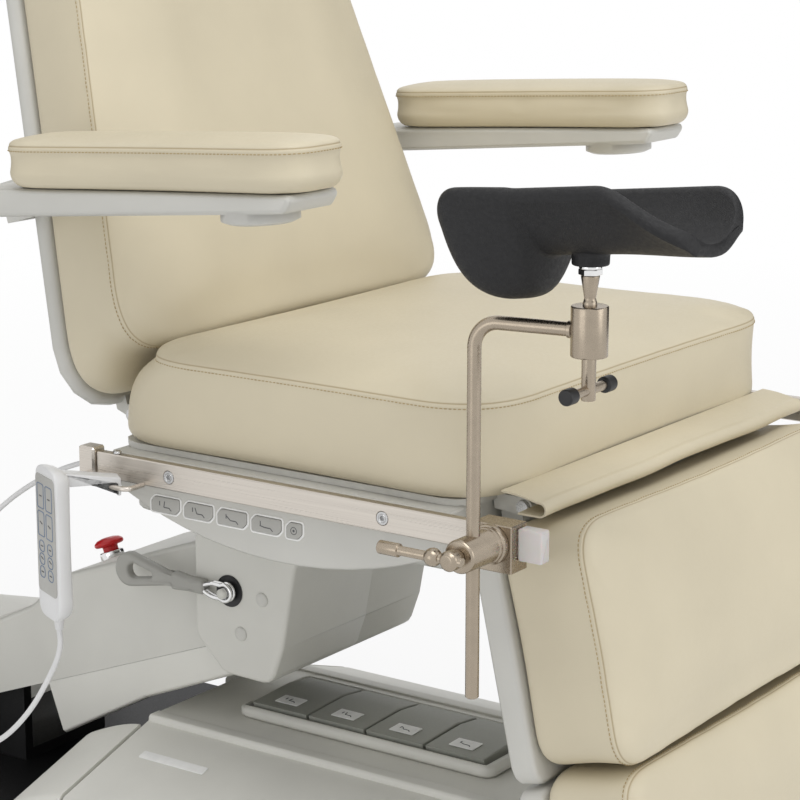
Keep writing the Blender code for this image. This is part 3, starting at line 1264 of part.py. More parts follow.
def crutch_surface(share, across):
    """The trough's upper face: share runs from the thigh end to the calf end, across from -1 (near) to 1.

    The floor sinks into a lobe under the thigh, both ends are rounded, and the near rim drops at the calf end.
    """
    lobe = max(1 - ((share - CRUTCH_LOBE_MIDDLE) / CRUTCH_LOBE_REACH) ** 2, 0.0)
    floor = CRUTCH_FLOOR_Z - CRUTCH_LOBE_DROP * smooth_step(lobe)
    ends = end_round(share, 0.16, 0.0) + end_round(1 - share, 0.16, 0.0) - 1
    rim = CRUTCH_RIM_Z - CRUTCH_RIM_FALL * (1 - ends)
    if across < 0:
        rim -= CRUTCH_NEAR_DROP * smooth_step((share - 0.66) / 0.22) * ends
    half = CRUTCH_HALF_WIDTH * end_round(share, 0.22, 0.5) * end_round(1 - share, 0.20, 0.55)
    height = floor + (rim - floor) * abs(across) ** 2.2
    y = CRUTCH_THIGH_Y + (CRUTCH_CALF_Y - CRUTCH_THIGH_Y) * share
    return Vector((BARREL.x + across * half, y, height))


def crutch_mesh():
    """Rings round the trough's section: its upper face from rim to rim, then its underside back again."""
    stations, columns = 14, 8
    step = 1e-3
    rings = []
    for station in range(stations + 1):
        share = station / stations
        upper, lower = [], []
        for column in range(columns + 1):
            across = -1 + 2 * column / columns
            point = crutch_surface(share, across)
            sideways = crutch_surface(share, min(across + step, 1)) - crutch_surface(share, max(across - step, -1))
            normal = Vector((-sideways.z, 0, sideways.x)).normalized()
            upper.append(point)
            lower.append(point - normal * CRUTCH_THICKNESS)
        rings.append(upper + lower[::-1])
    return loft(rings)


# Bodies and the whole object

SEAT_BASE = RAIL_TOP - 0.0025 + GAP + FRAME_THICKNESS + GAP
LEG_FACE = 0.008
COLLAR_Z = RAIL_TOP - RAIL_HEIGHT / 2
ARM_LENGTH = math.hypot(LIFT_PIVOT_Y - HEAD_PIVOT_Y, HEAD_PIVOT_Z - LIFT_PIVOT_Z)
ARM_ANGLE = math.degrees(math.atan2(HEAD_PIVOT_Z - LIFT_PIVOT_Z, LIFT_PIVOT_Y - HEAD_PIVOT_Y))
LINK_FOOT = Vector((0, LIFT_PIVOT_Y + LINK_OFFSET * math.sin(math.radians(ARM_ANGLE)),
                    LIFT_PIVOT_Z + LINK_OFFSET * math.cos(math.radians(ARM_ANGLE))))
BARREL = Vector((SUPPORT_X + BARREL_REACH * math.sin(math.radians(ROD_YAW)),
                 SUPPORT_Y - BARREL_REACH * math.cos(math.radians(ROD_YAW)), ROD_BEND_Z))


def make_materials():
    make_material("vinyl", (0.66, 0.58, 0.43), 0.5)
    make_material("grey_plastic", (0.50, 0.50, 0.46), 0.45)
    make_material("head_plastic", (0.40, 0.40, 0.37), 0.45)
    make_material("light_plastic", (0.70, 0.70, 0.69), 0.4)
    make_material("pedal_plastic", (0.21, 0.21, 0.19), 0.5)
    make_material("clear_plastic", (0.75, 0.73, 0.71), 0.25)
    make_material("red_plastic", (0.58, 0.02, 0.02), 0.35)
    make_material("black_foam", (0.04, 0.04, 0.045), 0.55)
    make_material("satin_steel", (0.62, 0.58, 0.55), 0.3, 1.0)
    make_material("nickel", (0.40, 0.34, 0.28), 0.35, 1.0)
    make_material("steel", (0.55, 0.55, 0.55), 0.3, 1.0)
    make_material("chrome", (0.75, 0.75, 0.75), 0.12, 1.0)
    make_material("grey_metal", (0.48, 0.48, 0.45), 0.5)
    make_material("dark_metal", (0.05, 0.05, 0.05), 0.5, 0.4)


def make_bodies():
    make_body("base", None, (0, 0, 0))
    make_body("lift_arm", "base", (0, LIFT_PIVOT_Y, LIFT_PIVOT_Z), -ARM_ANGLE)
    make_body("link", "base", LINK_FOOT, -ARM_ANGLE)
    make_body("stop_axis", "lift_arm", (0, LIFT_PIVOT_Y, LIFT_PIVOT_Z), -ARM_ANGLE)
    make_body("head", "lift_arm", (0, HEAD_PIVOT_Y, HEAD_PIVOT_Z))
    make_body("brake", "head", (-HEAD_HALF_WIDTH, LEVER_Y, LEVER_Z))
    make_body("seat", "head", (0, SWIVEL_Y, HEAD_TOP))
    make_body("back", "seat", (0, BACK_HINGE_Y, BACK_HINGE_Z), -BACK_RECLINE)
    for side, word in ((-1, "right"), (1, "left")):
        place = (side * ARMREST_X, ARMREST_PIVOT_Y, ARMREST_PIVOT_Z)
        make_body(f"armrest_{word}", "back", place, -ARMREST_RISE)
    make_body("leg", "seat", (0, LEG_HINGE_Y, LEG_HINGE_Z), -LEG_SLOPE)
    make_body("foot", "leg", (0, LEG_HINGE_Y, LEG_HINGE_Z), -LEG_SLOPE)
    make_body("clamp", "seat", (-RAIL_FACE, SUPPORT_Y, COLLAR_Z))
    make_body("collar", "clamp", (SUPPORT_X, SUPPORT_Y, COLLAR_Z))
    make_body("handle", "collar", (COLLAR_OUTER_X, SUPPORT_Y, COLLAR_Z))
    make_body("rod", "collar", (SUPPORT_X, SUPPORT_Y, COLLAR_Z))
    make_body("crutch", "rod", BARREL)
    make_body("lock", "rod", BARREL)


def build():
    for item in list(bpy.data.objects):
        bpy.data.objects.remove(item)
    make_materials()
    make_bodies()
    build_base()
    build_pedals()
    build_lift_arm()
    build_head()
    build_seat_structure()
    build_rails()
    build_seat_cushion()
    build_flap()
    build_handset()
    build_cord()
    build_back()
    for side, word in ((-1, "right"), (1, "left")):
        build_armrest(side, word)
    build_leg_rest()
    build_clamp()
    build_rod()
    build_crutch()


build()
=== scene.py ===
"""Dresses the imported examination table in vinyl, foam, moulded plastic and metal, around the CAD frame."""
import json
import math

import bmesh
import bpy
import numpy as np
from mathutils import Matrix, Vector

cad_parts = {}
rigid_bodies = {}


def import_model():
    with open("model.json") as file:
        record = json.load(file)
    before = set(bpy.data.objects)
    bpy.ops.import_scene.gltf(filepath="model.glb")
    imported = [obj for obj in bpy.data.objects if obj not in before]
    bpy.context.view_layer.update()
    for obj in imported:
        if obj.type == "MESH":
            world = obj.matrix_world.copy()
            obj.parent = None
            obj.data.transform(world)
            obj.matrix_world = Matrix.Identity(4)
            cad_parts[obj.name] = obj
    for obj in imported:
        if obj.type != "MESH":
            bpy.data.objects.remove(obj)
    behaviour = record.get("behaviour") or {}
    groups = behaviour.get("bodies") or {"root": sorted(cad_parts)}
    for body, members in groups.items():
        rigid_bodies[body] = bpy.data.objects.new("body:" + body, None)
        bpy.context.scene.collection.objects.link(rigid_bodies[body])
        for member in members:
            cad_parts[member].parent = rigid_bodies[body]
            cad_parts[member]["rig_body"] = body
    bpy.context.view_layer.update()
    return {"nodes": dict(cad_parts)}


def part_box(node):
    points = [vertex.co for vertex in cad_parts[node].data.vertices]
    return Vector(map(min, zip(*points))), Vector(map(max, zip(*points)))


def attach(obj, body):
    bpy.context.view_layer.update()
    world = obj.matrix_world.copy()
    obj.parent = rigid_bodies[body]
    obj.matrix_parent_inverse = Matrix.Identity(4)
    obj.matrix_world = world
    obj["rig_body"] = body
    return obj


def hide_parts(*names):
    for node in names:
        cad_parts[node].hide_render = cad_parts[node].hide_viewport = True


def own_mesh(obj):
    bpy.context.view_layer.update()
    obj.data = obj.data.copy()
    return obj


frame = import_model()
scene = bpy.context.scene


# Points, outlines and grids

def unit(vectors):
    """Vectors scaled to length 1."""
    return vectors / np.maximum(np.linalg.norm(vectors, axis=-1, keepdims=True), 1e-12)


def turn_x(place, degrees):
    """A frame at a place, turned about X: columns are its own axes in the world, then its origin."""
    angle = math.radians(degrees)
    matrix = np.eye(4)
    matrix[1:3, 1:3] = [[math.cos(angle), -math.sin(angle)], [math.sin(angle), math.cos(angle)]]
    matrix[:3, 3] = place
    return matrix


def placed(part, matrix):
    """A part's points carried by a frame: world = turn * point + origin."""
    points, quads, lids = part
    return points @ matrix[:3, :3].T + matrix[:3, 3], quads, lids


def eased(points, reach, steps=6, closed=True):
    """Each corner becomes a quadratic Bezier curve that starts and ends a reach away from it."""
    points = np.asarray(points, float)
    before = np.roll(points, 1, axis=0) - points
    after = np.roll(points, -1, axis=0) - points
    before_length = np.linalg.norm(before, axis=1, keepdims=True)
    after_length = np.linalg.norm(after, axis=1, keepdims=True)
    reach = np.broadcast_to(np.asarray(reach, float).reshape(-1, 1), (len(points), 1))
    start = points + before / before_length * np.minimum(reach, 0.48 * before_length)
    end = points + after / after_length * np.minimum(reach, 0.48 * after_length)
    t = np.linspace(0, 1, steps + 1)[None, :, None]
    curve = (1 - t) ** 2 * start[:, None] + 2 * t * (1 - t) * points[:, None] + t ** 2 * end[:, None]
    if closed:
        return curve.reshape(-1, points.shape[1])
    return np.concatenate((points[:1], curve[1:-1].reshape(-1, points.shape[1]), points[-1:]))


def circle_points(center, radius, start, end, count):
    """Points on a circular arc, angles in degrees."""
    angle = np.radians(np.linspace(start, end, count))
    return np.stack((center[0] + radius * np.cos(angle), center[1] + radius * np.sin(angle)), axis=-1)


def resampled(points, count):
    """A closed outline's points spread evenly by length, from the same first point."""
    loop = np.concatenate((points, points[:1]))
    run = np.concatenate(([0], np.cumsum(np.linalg.norm(np.diff(loop, axis=0), axis=1))))
    spots = np.linspace(0, run[-1], count, endpoint=False)
    return np.stack([np.interp(spots, run, loop[:, k]) for k in range(loop.shape[1])], axis=-1)


def lofted(grid, closed=True, caps=True):
    """Rows of points joined row to row; closed joins each row's ends, caps close the first and last row."""
    rows, columns = grid.shape[:2]
    index = np.arange(rows * columns).reshape(rows, columns)
    ahead = np.roll(index, -1, axis=1) if closed else index[:, 1:]
    here = index if closed else index[:, :-1]
    quads = np.stack((here[:-1], ahead[:-1], ahead[1:], here[1:]), axis=-1).reshape(-1, 4)
    return grid.reshape(-1, 3), quads, [index[0, ::-1], index[-1]] if caps else []


def ring_loop(grid):
    """Rows joined row to row, and the last row to the first, as on a ring."""
    points, quads, _ = lofted(np.concatenate((grid, grid[:1])), caps=False)
    count = grid.shape[0] * grid.shape[1]
    return points[:count], quads % count, []


LEVELS = {"X": (1, 2, 0), "Y": (0, 2, 1), "Z": (0, 1, 2)}


def mitres(outline):
    """Vectors that move each corner of a counter-clockwise outline outwards by 1 from both its edges."""
    edge = unit(np.roll(outline, -1, axis=0) - outline)
    out = np.stack((edge[:, 1], -edge[:, 0]), axis=-1)
    before = np.roll(out, 1, axis=0)
    return (out + before) / np.maximum(1 + np.sum(out * before, axis=1, keepdims=True), 0.3)


def extruded(outline, axis, low, high, rim=0.002, steps=3):
    """An outline carried low to high; rims are quarter circles: inset r(1 - sin t), rise r(1 - cos t)."""
    outline = np.asarray(outline, float)
    ahead = np.roll(outline, -1, axis=0)
    if np.sum(outline[:, 0] * ahead[:, 1] - ahead[:, 0] * outline[:, 1]) < 0:
        outline = outline[::-1]
    turn = np.linspace(0, math.pi / 2, steps + 1)
    inset = rim * (1 - np.sin(turn))
    rise = rim * (1 - np.cos(turn))
    insets = np.concatenate((inset, inset[::-1]))
    levels = np.concatenate((low + rise, high - rise[::-1]))
    flat = outline[None] - mitres(outline)[None] * insets[:, None, None]
    grid = np.empty((len(levels), len(outline), 3))
    first, second, third = LEVELS[axis]
    grid[..., first] = flat[..., 0]
    grid[..., second] = flat[..., 1]
    grid[..., third] = levels[:, None]
    return lofted(grid)


def cross_axes(direction):
    """Two unit vectors square to a direction and to each other."""
    direction = unit(np.asarray(direction, float))
    helper = np.array((0.0, 0.0, 1.0)) if abs(direction[2]) < 0.9 else np.array((1.0, 0.0, 0.0))
    first = unit(np.cross(direction, helper))
    return first, np.cross(direction, first)


def turned(foot, axis, profile, sides=40, hollow=False):
    """A lathe form: point = foot + along * axis + radius * (cos t * u + sin t * v) for (along, radius).

    A hollow form joins its profile's last point to its first, as on a ring.
    """
    axis = unit(np.asarray(axis, float))
    first, second = cross_axes(axis)
    angle = np.linspace(0, 2 * math.pi, sides, endpoint=False)
    spoke = np.cos(angle)[:, None] * first + np.sin(angle)[:, None] * second
    profile = np.asarray(profile, float)
    grid = np.asarray(foot) + profile[:, :1, None] * axis + profile[:, 1:, None] * spoke[None]
    return ring_loop(grid) if hollow else lofted(grid)


def lathe(points, ease=0.0012, steps=3):
    """A lathe profile with its corners eased."""
    return eased(points, ease, steps, closed=False)


def swept(path, radius, sides=20, closed=False):
    """A round section along a path: ring = point + radius (cos t * n + sin t * b), with n carried along."""
    path = np.asarray(path, float)
    if closed:
        tangent = unit(np.roll(path, -1, axis=0) - np.roll(path, 1, axis=0))
    else:
        tangent = unit(np.gradient(path, axis=0))
    normal = np.empty_like(path)
    normal[0] = cross_axes(tangent[0])[0]
    for step in range(1, len(path)):
        carried = normal[step - 1] - tangent[step] * np.dot(normal[step - 1], tangent[step])
        normal[step] = carried / np.linalg.norm(carried)
    binormal = np.cross(tangent, normal)
    angle = np.linspace(0, 2 * math.pi, sides, endpoint=False)
    radius = np.broadcast_to(np.asarray(radius, float), (len(path),))[:, None, None]
    grid = path[:, None] + radius * (np.cos(angle)[None, :, None] * normal[:, None]
                                     + np.sin(angle)[None, :, None] * binormal[:, None])
    return ring_loop(grid) if closed else lofted(grid)


def ball(center, radius, axis=(0, 0, 1), sides=24):
    """A sphere as a lathe form, along = r sin t and radius = r cos t."""
    angle = np.radians(np.linspace(-86, 86, 13))
    return turned(center, axis, np.stack((radius * np.sin(angle), radius * np.cos(angle)), axis=-1), sides)


def smooth(value):
    """0 below 0, 1 above 1, and 3t^2 - 2t^3 between."""
    value = np.clip(value, 0, 1)
    return value * value * (3 - 2 * value)


# Pieces

def signed_volume(points, quads, lids):
    """Six times the volume inside a closed part; negative where its faces point inwards."""
    fans = [np.stack((np.full(len(lid) - 2, lid[0]), lid[1:-1], lid[2:]), axis=-1) for lid in lids]
    triangles = np.concatenate([quads[:, [0, 1, 2]], quads[:, [0, 2, 3]], *fans])
    a, b, c = (points[triangles[:, k]] for k in range(3))
    return np.sum(a * np.cross(b, c))


def mesh_from(name, parts):
    """One mesh of closed parts, each turned to face outwards."""
    points, faces, start = [], [], 0
    for place, quads, lids in parts:
        middle = place - place.mean(axis=0)
        if signed_volume(middle, quads, lids) < 0:
            quads = quads[:, ::-1]
            lids = [lid[::-1] for lid in lids]
        points.append(place)
        faces += (quads + start).tolist() + [(lid + start).tolist() for lid in lids]
        start += len(place)
    mesh = bpy.data.meshes.new(name)
    mesh.from_pydata(np.concatenate(points).tolist(), [], faces)
    mesh.polygons.foreach_set("use_smooth", np.ones(len(faces), bool))
    mesh.update()
    return mesh


def add_piece(name, mesh, look, body, replaces=(), crease=40):
    """An object for a mesh, with its finish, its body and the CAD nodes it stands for."""
    mesh.materials.clear()
    mesh.materials.append(look)
    if crease:
        mesh.set_sharp_from_angle(angle=math.radians(crease))
    item = bpy.data.objects.new(name, mesh)
    scene.collection.objects.link(item)
    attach(item, body)
    if replaces:
        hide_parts(*replaces)
    return item


def add_parts(name, parts, look, body, replaces=(), crease=40):
    """A piece made of one or more closed parts."""
    return add_piece(name, mesh_from(name, parts), look, body, replaces, crease)


def dressed(node, look, crease=52):
    """A merged copy of a CAD node; normals weighted by face area shade its chamfers as rounded edges."""
    source = frame["nodes"][node]
    shape = bmesh.new()
    shape.from_mesh(source.data)
    bmesh.ops.remove_doubles(shape, verts=shape.verts, dist=1e-6)
    bmesh.ops.dissolve_limit(shape, angle_limit=math.radians(1), verts=shape.verts, edges=shape.edges)
    mesh = bpy.data.meshes.new(f"{node}_dressed")
    shape.to_mesh(mesh)
    shape.free()
    mesh.polygons.foreach_set("use_smooth", np.ones(len(mesh.polygons), bool))
    item = add_piece(f"{node}_dressed", mesh, look, source["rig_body"], (node,), crease=crease)
    weighted = item.modifiers.new("face_weight", "WEIGHTED_NORMAL")
    weighted.keep_sharp = True
    return item


# Finishes

def linear(code):
    """A linear colour from a six-digit sRGB code."""
    value = np.array([int(code[k:k + 2], 16) for k in (0, 2, 4)]) / 255
    return tuple(np.where(value <= 0.04045, value / 12.92, ((value + 0.055) / 1.055) ** 2.4)) + (1.0,)


class Finish:
    """A Principled material with colour, roughness and bump from textures on Object coordinates."""

    def __init__(self, name, code, roughness, metallic=0.0):
        self.look = bpy.data.materials.new(name)
        self.look.use_nodes = True
        self.tree = self.look.node_tree
        self.shader = self.tree.nodes["Principled BSDF"]
        self.shader.inputs["Metallic"].default_value = metallic
        self.shader.inputs["Roughness"].default_value = roughness
        self.colour = linear(code)
        self.shader.inputs["Base Color"].default_value = self.colour
        self.place = self.node("ShaderNodeTexCoord").outputs["Object"]
        self.height = None

    def node(self, kind, **inputs):
        """A new node; each input is set to a value or linked to a socket."""
        made = self.tree.nodes.new(kind)
        for key, value in inputs.items():
            socket = made.inputs[key.replace("_", " ")]
            if isinstance(value, bpy.types.NodeSocket):
                self.tree.links.new(value, socket)
            else:
                socket.default_value = value
        return made

    def stretched(self, scale):
        """Object coordinates times a scale for each axis."""
        return self.node("ShaderNodeMapping", Vector=self.place, Scale=scale).outputs["Vector"]

    def noise(self, scale, detail=3.0, place=None):
        """Soft noise, about 1 / scale metres across."""
        made = self.node("ShaderNodeTexNoise", Vector=place or self.place, Scale=scale, Detail=detail)
        return made.outputs["Fac"]

    def cells(self, scale):
        """Distance to the nearest cell edge, for pebbles about 1 / scale metres across."""
        made = self.node("ShaderNodeTexVoronoi", Vector=self.place, Scale=scale)
        made.feature = "DISTANCE_TO_EDGE"
        return made.outputs["Distance"]

    def ranged(self, value, low, high, start=0.3, end=0.7):
        """A value that runs from start to end, carried to low and high."""
        made = self.node("ShaderNodeMapRange", Value=value)
        for socket, number in zip(("From Min", "From Max", "To Min", "To Max"), (start, end, low, high)):
            made.inputs[socket].default_value = number
        return made.outputs["Result"]

    def tint(self, value, dark, light):
        """Colour runs from dark to light times the finish's own colour as the value runs from 0.3 to 0.7."""
        mix = self.node("ShaderNodeMix")
        mix.data_type = "RGBA"
        self.tree.links.new(self.ranged(value, 0, 1), mix.inputs["Factor"])
        mix.inputs["A"].default_value = tuple(dark * c for c in self.colour[:3]) + (1,)
        mix.inputs["B"].default_value = tuple(min(light * c, 1) for c in self.colour[:3]) + (1,)
        self.tint_socket = mix.outputs["Result"]
        self.tree.links.new(self.tint_socket, self.shader.inputs["Base Color"])
        return self

    def shade_by(self, attribute, code):
        """Painted shade: where the piece's attribute is 1 the colour becomes the coded one, a darker tone
        standing in for the shade in a seam's groove.
        """
        read = self.node("ShaderNodeAttribute")
        read.attribute_name = attribute
        mix = self.node("ShaderNodeMix")
        mix.data_type = "RGBA"
        self.tree.links.new(read.outputs["Fac"], mix.inputs["Factor"])
        self.tree.links.new(self.tint_socket, mix.inputs["A"])
        mix.inputs["B"].default_value = linear(code)
        self.tree.links.new(mix.outputs["Result"], self.shader.inputs["Base Color"])
        return self

    def rough(self, value, low, high):
        """Roughness from low to high by a texture."""
        self.tree.links.new(self.ranged(value, low, high), self.shader.inputs["Roughness"])
        return self

    def bump(self, value, depth, strength=1.0):
        """Raises the surface by a texture; each call adds to the one before."""
        made = self.node("ShaderNodeBump", Height=value, Distance=depth, Strength=strength)
        if self.height is not None:
            self.tree.links.new(self.height, made.inputs["Normal"])
        self.height = made.outputs["Normal"]
        self.tree.links.new(self.height, self.shader.inputs["Normal"])
        return self

    def set(self, **values):
        """Numbers set on the shader's own sockets."""
        for key, value in values.items():
            self.shader.inputs[key.replace("_", " ")].default_value = value
        return self


def vinyl_finish():
    """Upholstery vinyl: pebbled grain about 1 mm across, faint mottling, satin sheen, and painted shade
    along the seams.
    """
    made = Finish("beige_vinyl", "D2C8AF", 0.46)
    made.tint(made.noise(7, 4), 0.95, 1.04)
    made.rough(made.noise(260, 2), 0.40, 0.52)
    made.bump(made.cells(820), 0.00016, 0.7)
    made.bump(made.noise(1500, 2), 0.00012, 0.6)
    made.bump(made.noise(38, 2), 0.0006, 0.25)
    # painted shade: the vinyl darkens to 9C8761 along each pad's seam row, standing in for the groove's
    # shade
    made.shade_by("seam", "9C8761")
    return made.set(Specular_IOR_Level=0.42).look


def plastic_finish(name, code, roughness, grain=2200):
    """Moulded plastic: fine spark-eroded grain and slight unevenness of tone."""
    made = Finish(name, code, roughness)
    made.tint(made.noise(11, 3), 0.965, 1.03)
    made.rough(made.noise(340, 2), roughness - 0.05, roughness + 0.06)
    made.bump(made.noise(grain, 2), 0.00006, 0.7)
    return made.set(Specular_IOR_Level=0.45).look


def brushed_finish(name, code, roughness, scale):
    """Metal brushed along one axis: streaks are noise stretched along it."""
    made = Finish(name, code, roughness, 1.0)
    streaks = made.noise(1, 3, made.stretched(scale))
    made.tint(streaks, 0.93, 1.05)
    made.rough(streaks, roughness - 0.06, roughness + 0.08)
    made.bump(streaks, 0.00003, 0.5)
    return made.look


def satin_metal(name, code, roughness):
    """Bead-blasted plated metal: tiny pits, with soft cloudiness."""
    made = Finish(name, code, roughness, 1.0)
    made.tint(made.noise(90, 4), 0.96, 1.04)
    made.rough(made.noise(600, 2), roughness - 0.05, roughness + 0.06)
    made.bump(made.noise(1900, 3), 0.00002, 0.6)
    return made.look


def foam_finish():
    """Integral-skin foam: black, with a leathery grain of 1 mm pebbles over finer pores."""
    made = Finish("black_foam", "161618", 0.55)
    made.tint(made.noise(420, 3), 0.75, 1.3)
    made.rough(made.noise(300, 2), 0.44, 0.60)
    made.bump(made.cells(800), 0.0006, 0.9)
    made.bump(made.noise(1400, 2), 0.00018, 0.8)
    return made.set(Specular_IOR_Level=0.4).look


def milky_finish():
    """Translucent moulded plastic, cloudy inside."""
    made = Finish("milky_plastic", "EDEAE8", 0.3)
    made.tint(made.noise(30, 3), 0.95, 1.03)
    made.bump(made.noise(900, 2), 0.00004, 0.5)
    return made.set(Transmission_Weight=0.35, Subsurface_Weight=0.25, Subsurface_Scale=0.008, IOR=1.45).look


def plain_finish(name, code, roughness, metallic=0.0, grain=1200, depth=0.00005):
    """A small piece's finish: faint tone changes and a fine grain."""
    made = Finish(name, code, roughness, metallic)
    made.tint(made.noise(60, 3), 0.93, 1.06)
    made.bump(made.noise(grain, 2), depth, 0.6)
    return made.look


VINYL = vinyl_finish()
THREAD = plain_finish("thread", "AE9A72", 0.7, grain=2500)
GREY = plastic_finish("grey_plastic", "C9C8C2", 0.42)
HEAD_GREY = plastic_finish("head_plastic", "D2D1CA", 0.44)
DECK_GREY = plastic_finish("deck_plastic", "DDDCD5", 0.46)
LEVER_GREY = plastic_finish("lever_plastic", "A3A29C", 0.4)
KEY_GREY = plastic_finish("key_plastic", "AFAEA9", 0.42)
WHITE = plastic_finish("white_plastic", "DCDCDC", 0.36)
PEDAL = plastic_finish("pedal_plastic", "9C9D95", 0.52, 900)
LABEL = plain_finish("label_white", "F1F1EF", 0.5)
ICON = plain_finish("icon_grey", "56575A", 0.6)
BLUE_INK = plain_finish("keypad_ink", "6F7F96", 0.6)
RAIL_STEEL = brushed_finish("rail_steel", "CFC8BF", 0.30, (900, 7, 900))
NICKEL = satin_metal("warm_nickel", "A69A8A", 0.27)
STEEL = satin_metal("turned_steel", "C4C4C4", 0.26)
CHROME = plain_finish("chrome", "E2E2E2", 0.09, 1.0, 300, 0.00001)
DARK_METAL = satin_metal("dark_metal", "3A3A3B", 0.5)
GREY_METAL = plain_finish("grey_enamel", "CFCEC8", 0.45)
BLACK = plain_finish("black_rubber", "161617", 0.45)
RED = plain_finish("red_gloss", "C4161B", 0.28, grain=700, depth=0.00002)
FOAM = foam_finish()
MILKY = milky_finish()


# Camera

FOCAL_PIXELS = 2420.0
PICTURE_PIXELS = 800.0
camera_data = bpy.data.cameras.new("photo_camera")
camera_data.sensor_width = 36.0
camera_data.lens = FOCAL_PIXELS / PICTURE_PIXELS * camera_data.sensor_width
camera_data.clip_start = 0.05
camera = bpy.data.objects.new("photo_camera", camera_data)
camera.location = (-1.9858, -1.4131, 1.0449)
camera.rotation_euler = Vector((0.7968, 0.5621, -0.2215)).to_track_quat("-Z", "Y").to_euler()
scene.collection.objects.link(camera)
scene.camera = camera


# Handset cord: the same route as its CAD solid

HANDSET_CENTER = np.array((-0.365, 0.130, 0.4035))
HANDSET_TURN = math.radians(36.9)
HANDSET_WIDTH, HANDSET_HEIGHT, HANDSET_DEPTH = 0.050, 0.150, 0.020
RELIEF_LENGTH = 0.012
CORD_RADIUS = 0.0027
GAP = 0.0003
HANDSET_BACK = np.array((math.cos(HANDSET_TURN), -math.sin(HANDSET_TURN), 0))
HANDSET_SIDE = np.array((math.sin(HANDSET_TURN), math.cos(HANDSET_TURN), 0))
HANDSET_FRAME = np.eye(4)
HANDSET_FRAME[:3, 0] = HANDSET_BACK
HANDSET_FRAME[:3, 1] = HANDSET_SIDE
HANDSET_FRAME[:3, 3] = HANDSET_CENTER
FACE_TURN = math.radians(24)
FACE_FRAME = HANDSET_FRAME.copy()
FACE_FRAME[:2, 0] = math.cos(FACE_TURN), -math.sin(FACE_TURN)
FACE_FRAME[:2, 1] = math.sin(FACE_TURN), math.cos(FACE_TURN)
CORD_ROUTE = np.array((
    (-0.364, 0.142, 0.272), (-0.366, 0.172, 0.226), (-0.366, 0.212, 0.188), (-0.360, 0.258, 0.168),
    (-0.346, 0.306, 0.172), (-0.322, 0.350, 0.208), (-0.290, 0.374, 0.268), (-0.256, 0.366, 0.330),
    (-0.224, 0.330, 0.382), (-0.198, 0.278, 0.418), (-0.180, 0.222, 0.434)))
GLAND_END = np.array((-0.176, 0.1463, 0.438))


def smooth_route(points, per_span):
    """Catmull-Rom points: 0.5 (2b + (c - a) t + (2a - 5b + 4c - d) t^2 + (3b - a - 3c + d) t^3)."""
    padded = np.concatenate((2 * points[:1] - points[1:2], points, 2 * points[-1:] - points[-2:-1]))
    a, b, c, d = (padded[k:len(padded) - 3 + k, None] for k in range(4))
    t = np.linspace(0, 1, per_span, endpoint=False)[None, :, None]
    square, cube = 2 * a - 5 * b + 4 * c - d, 3 * b - a - 3 * c + d
    curve = 0.5 * (2 * b + (c - a) * t + square * t ** 2 + cube * t ** 3)
    return np.concatenate((curve.reshape(-1, 3), points[-1:]))


def make_cord():
    """A thin round cord that hangs in a loop from the handset to the gland under the seat."""
    exit_point = HANDSET_CENTER - np.array((0, 0, HANDSET_HEIGHT / 2 + RELIEF_LENGTH + GAP))
    start = np.stack((exit_point, exit_point - np.array((0, 0, 0.018))))
    end = np.stack((GLAND_END + np.array((0, 0.020, 0)), GLAND_END))
    route = smooth_route(np.concatenate((start, CORD_ROUTE, end)), 10)
    curve = bpy.data.curves.new("handset_cord_flex", "CURVE")
    curve.dimensions = "3D"
    curve.bevel_depth = CORD_RADIUS
    curve.bevel_resolution = 5
    curve.use_fill_caps = True
    spline = curve.splines.new("POLY")
    spline.points.add(len(route) - 1)
    spline.points.foreach_set("co", np.concatenate((route, np.ones((len(route), 1))), axis=1).ravel())
    curve.materials.append(WHITE)
    cord = bpy.data.objects.new("handset_cord_flex", curve)
    scene.collection.objects.link(cord)
    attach(cord, "seat")
    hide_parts("handset_cord")


make_cord()


# Cushions: sewn pads, inflated by a cloth simulation between their seams

CUSHION_ROLL = 0.014
EDGE_BOW = 0.003
SEAM_DIP = 0.0013
STITCH_PITCH = 0.0042
STITCH_DROP = 0.0044
STITCH_HALF = 0.0015
STITCH_RADIUS = 0.0005
CORNER_BEZIER = 1.17
SIM_FRAMES = 18


def pad_outline(halves, low, high, corner, across, along):
    """A rounded trapezoid from the middle of its first corner; its sides bow inwards by sin(pi t)."""
    corners = ((-halves[0], low), (halves[0], low), (halves[1], high), (-halves[1], high))
    steps = 12
    dense = eased(corners, CORNER_BEZIER * corner, steps)
    dense = np.roll(dense, -(steps // 2), axis=0)
    dense = np.concatenate((dense, dense[:1]))
    run = np.concatenate(([0], np.cumsum(np.linalg.norm(np.diff(dense, axis=0), axis=1))))
    marks = run[np.arange(5) * (steps + 1)]
    spots = np.concatenate([
        np.linspace(marks[side], marks[side + 1], count, endpoint=False)
        for side, count in enumerate((across, along, across, along))])
    ring = np.stack([np.interp(spots, run, dense[:, k]) for k in range(2)], axis=-1)
    share = np.concatenate([np.arange(count) / count for count in (across, along, across, along)])
    return ring - mitres(ring) * (EDGE_BOW * np.sin(math.pi * share) ** 2)[:, None]


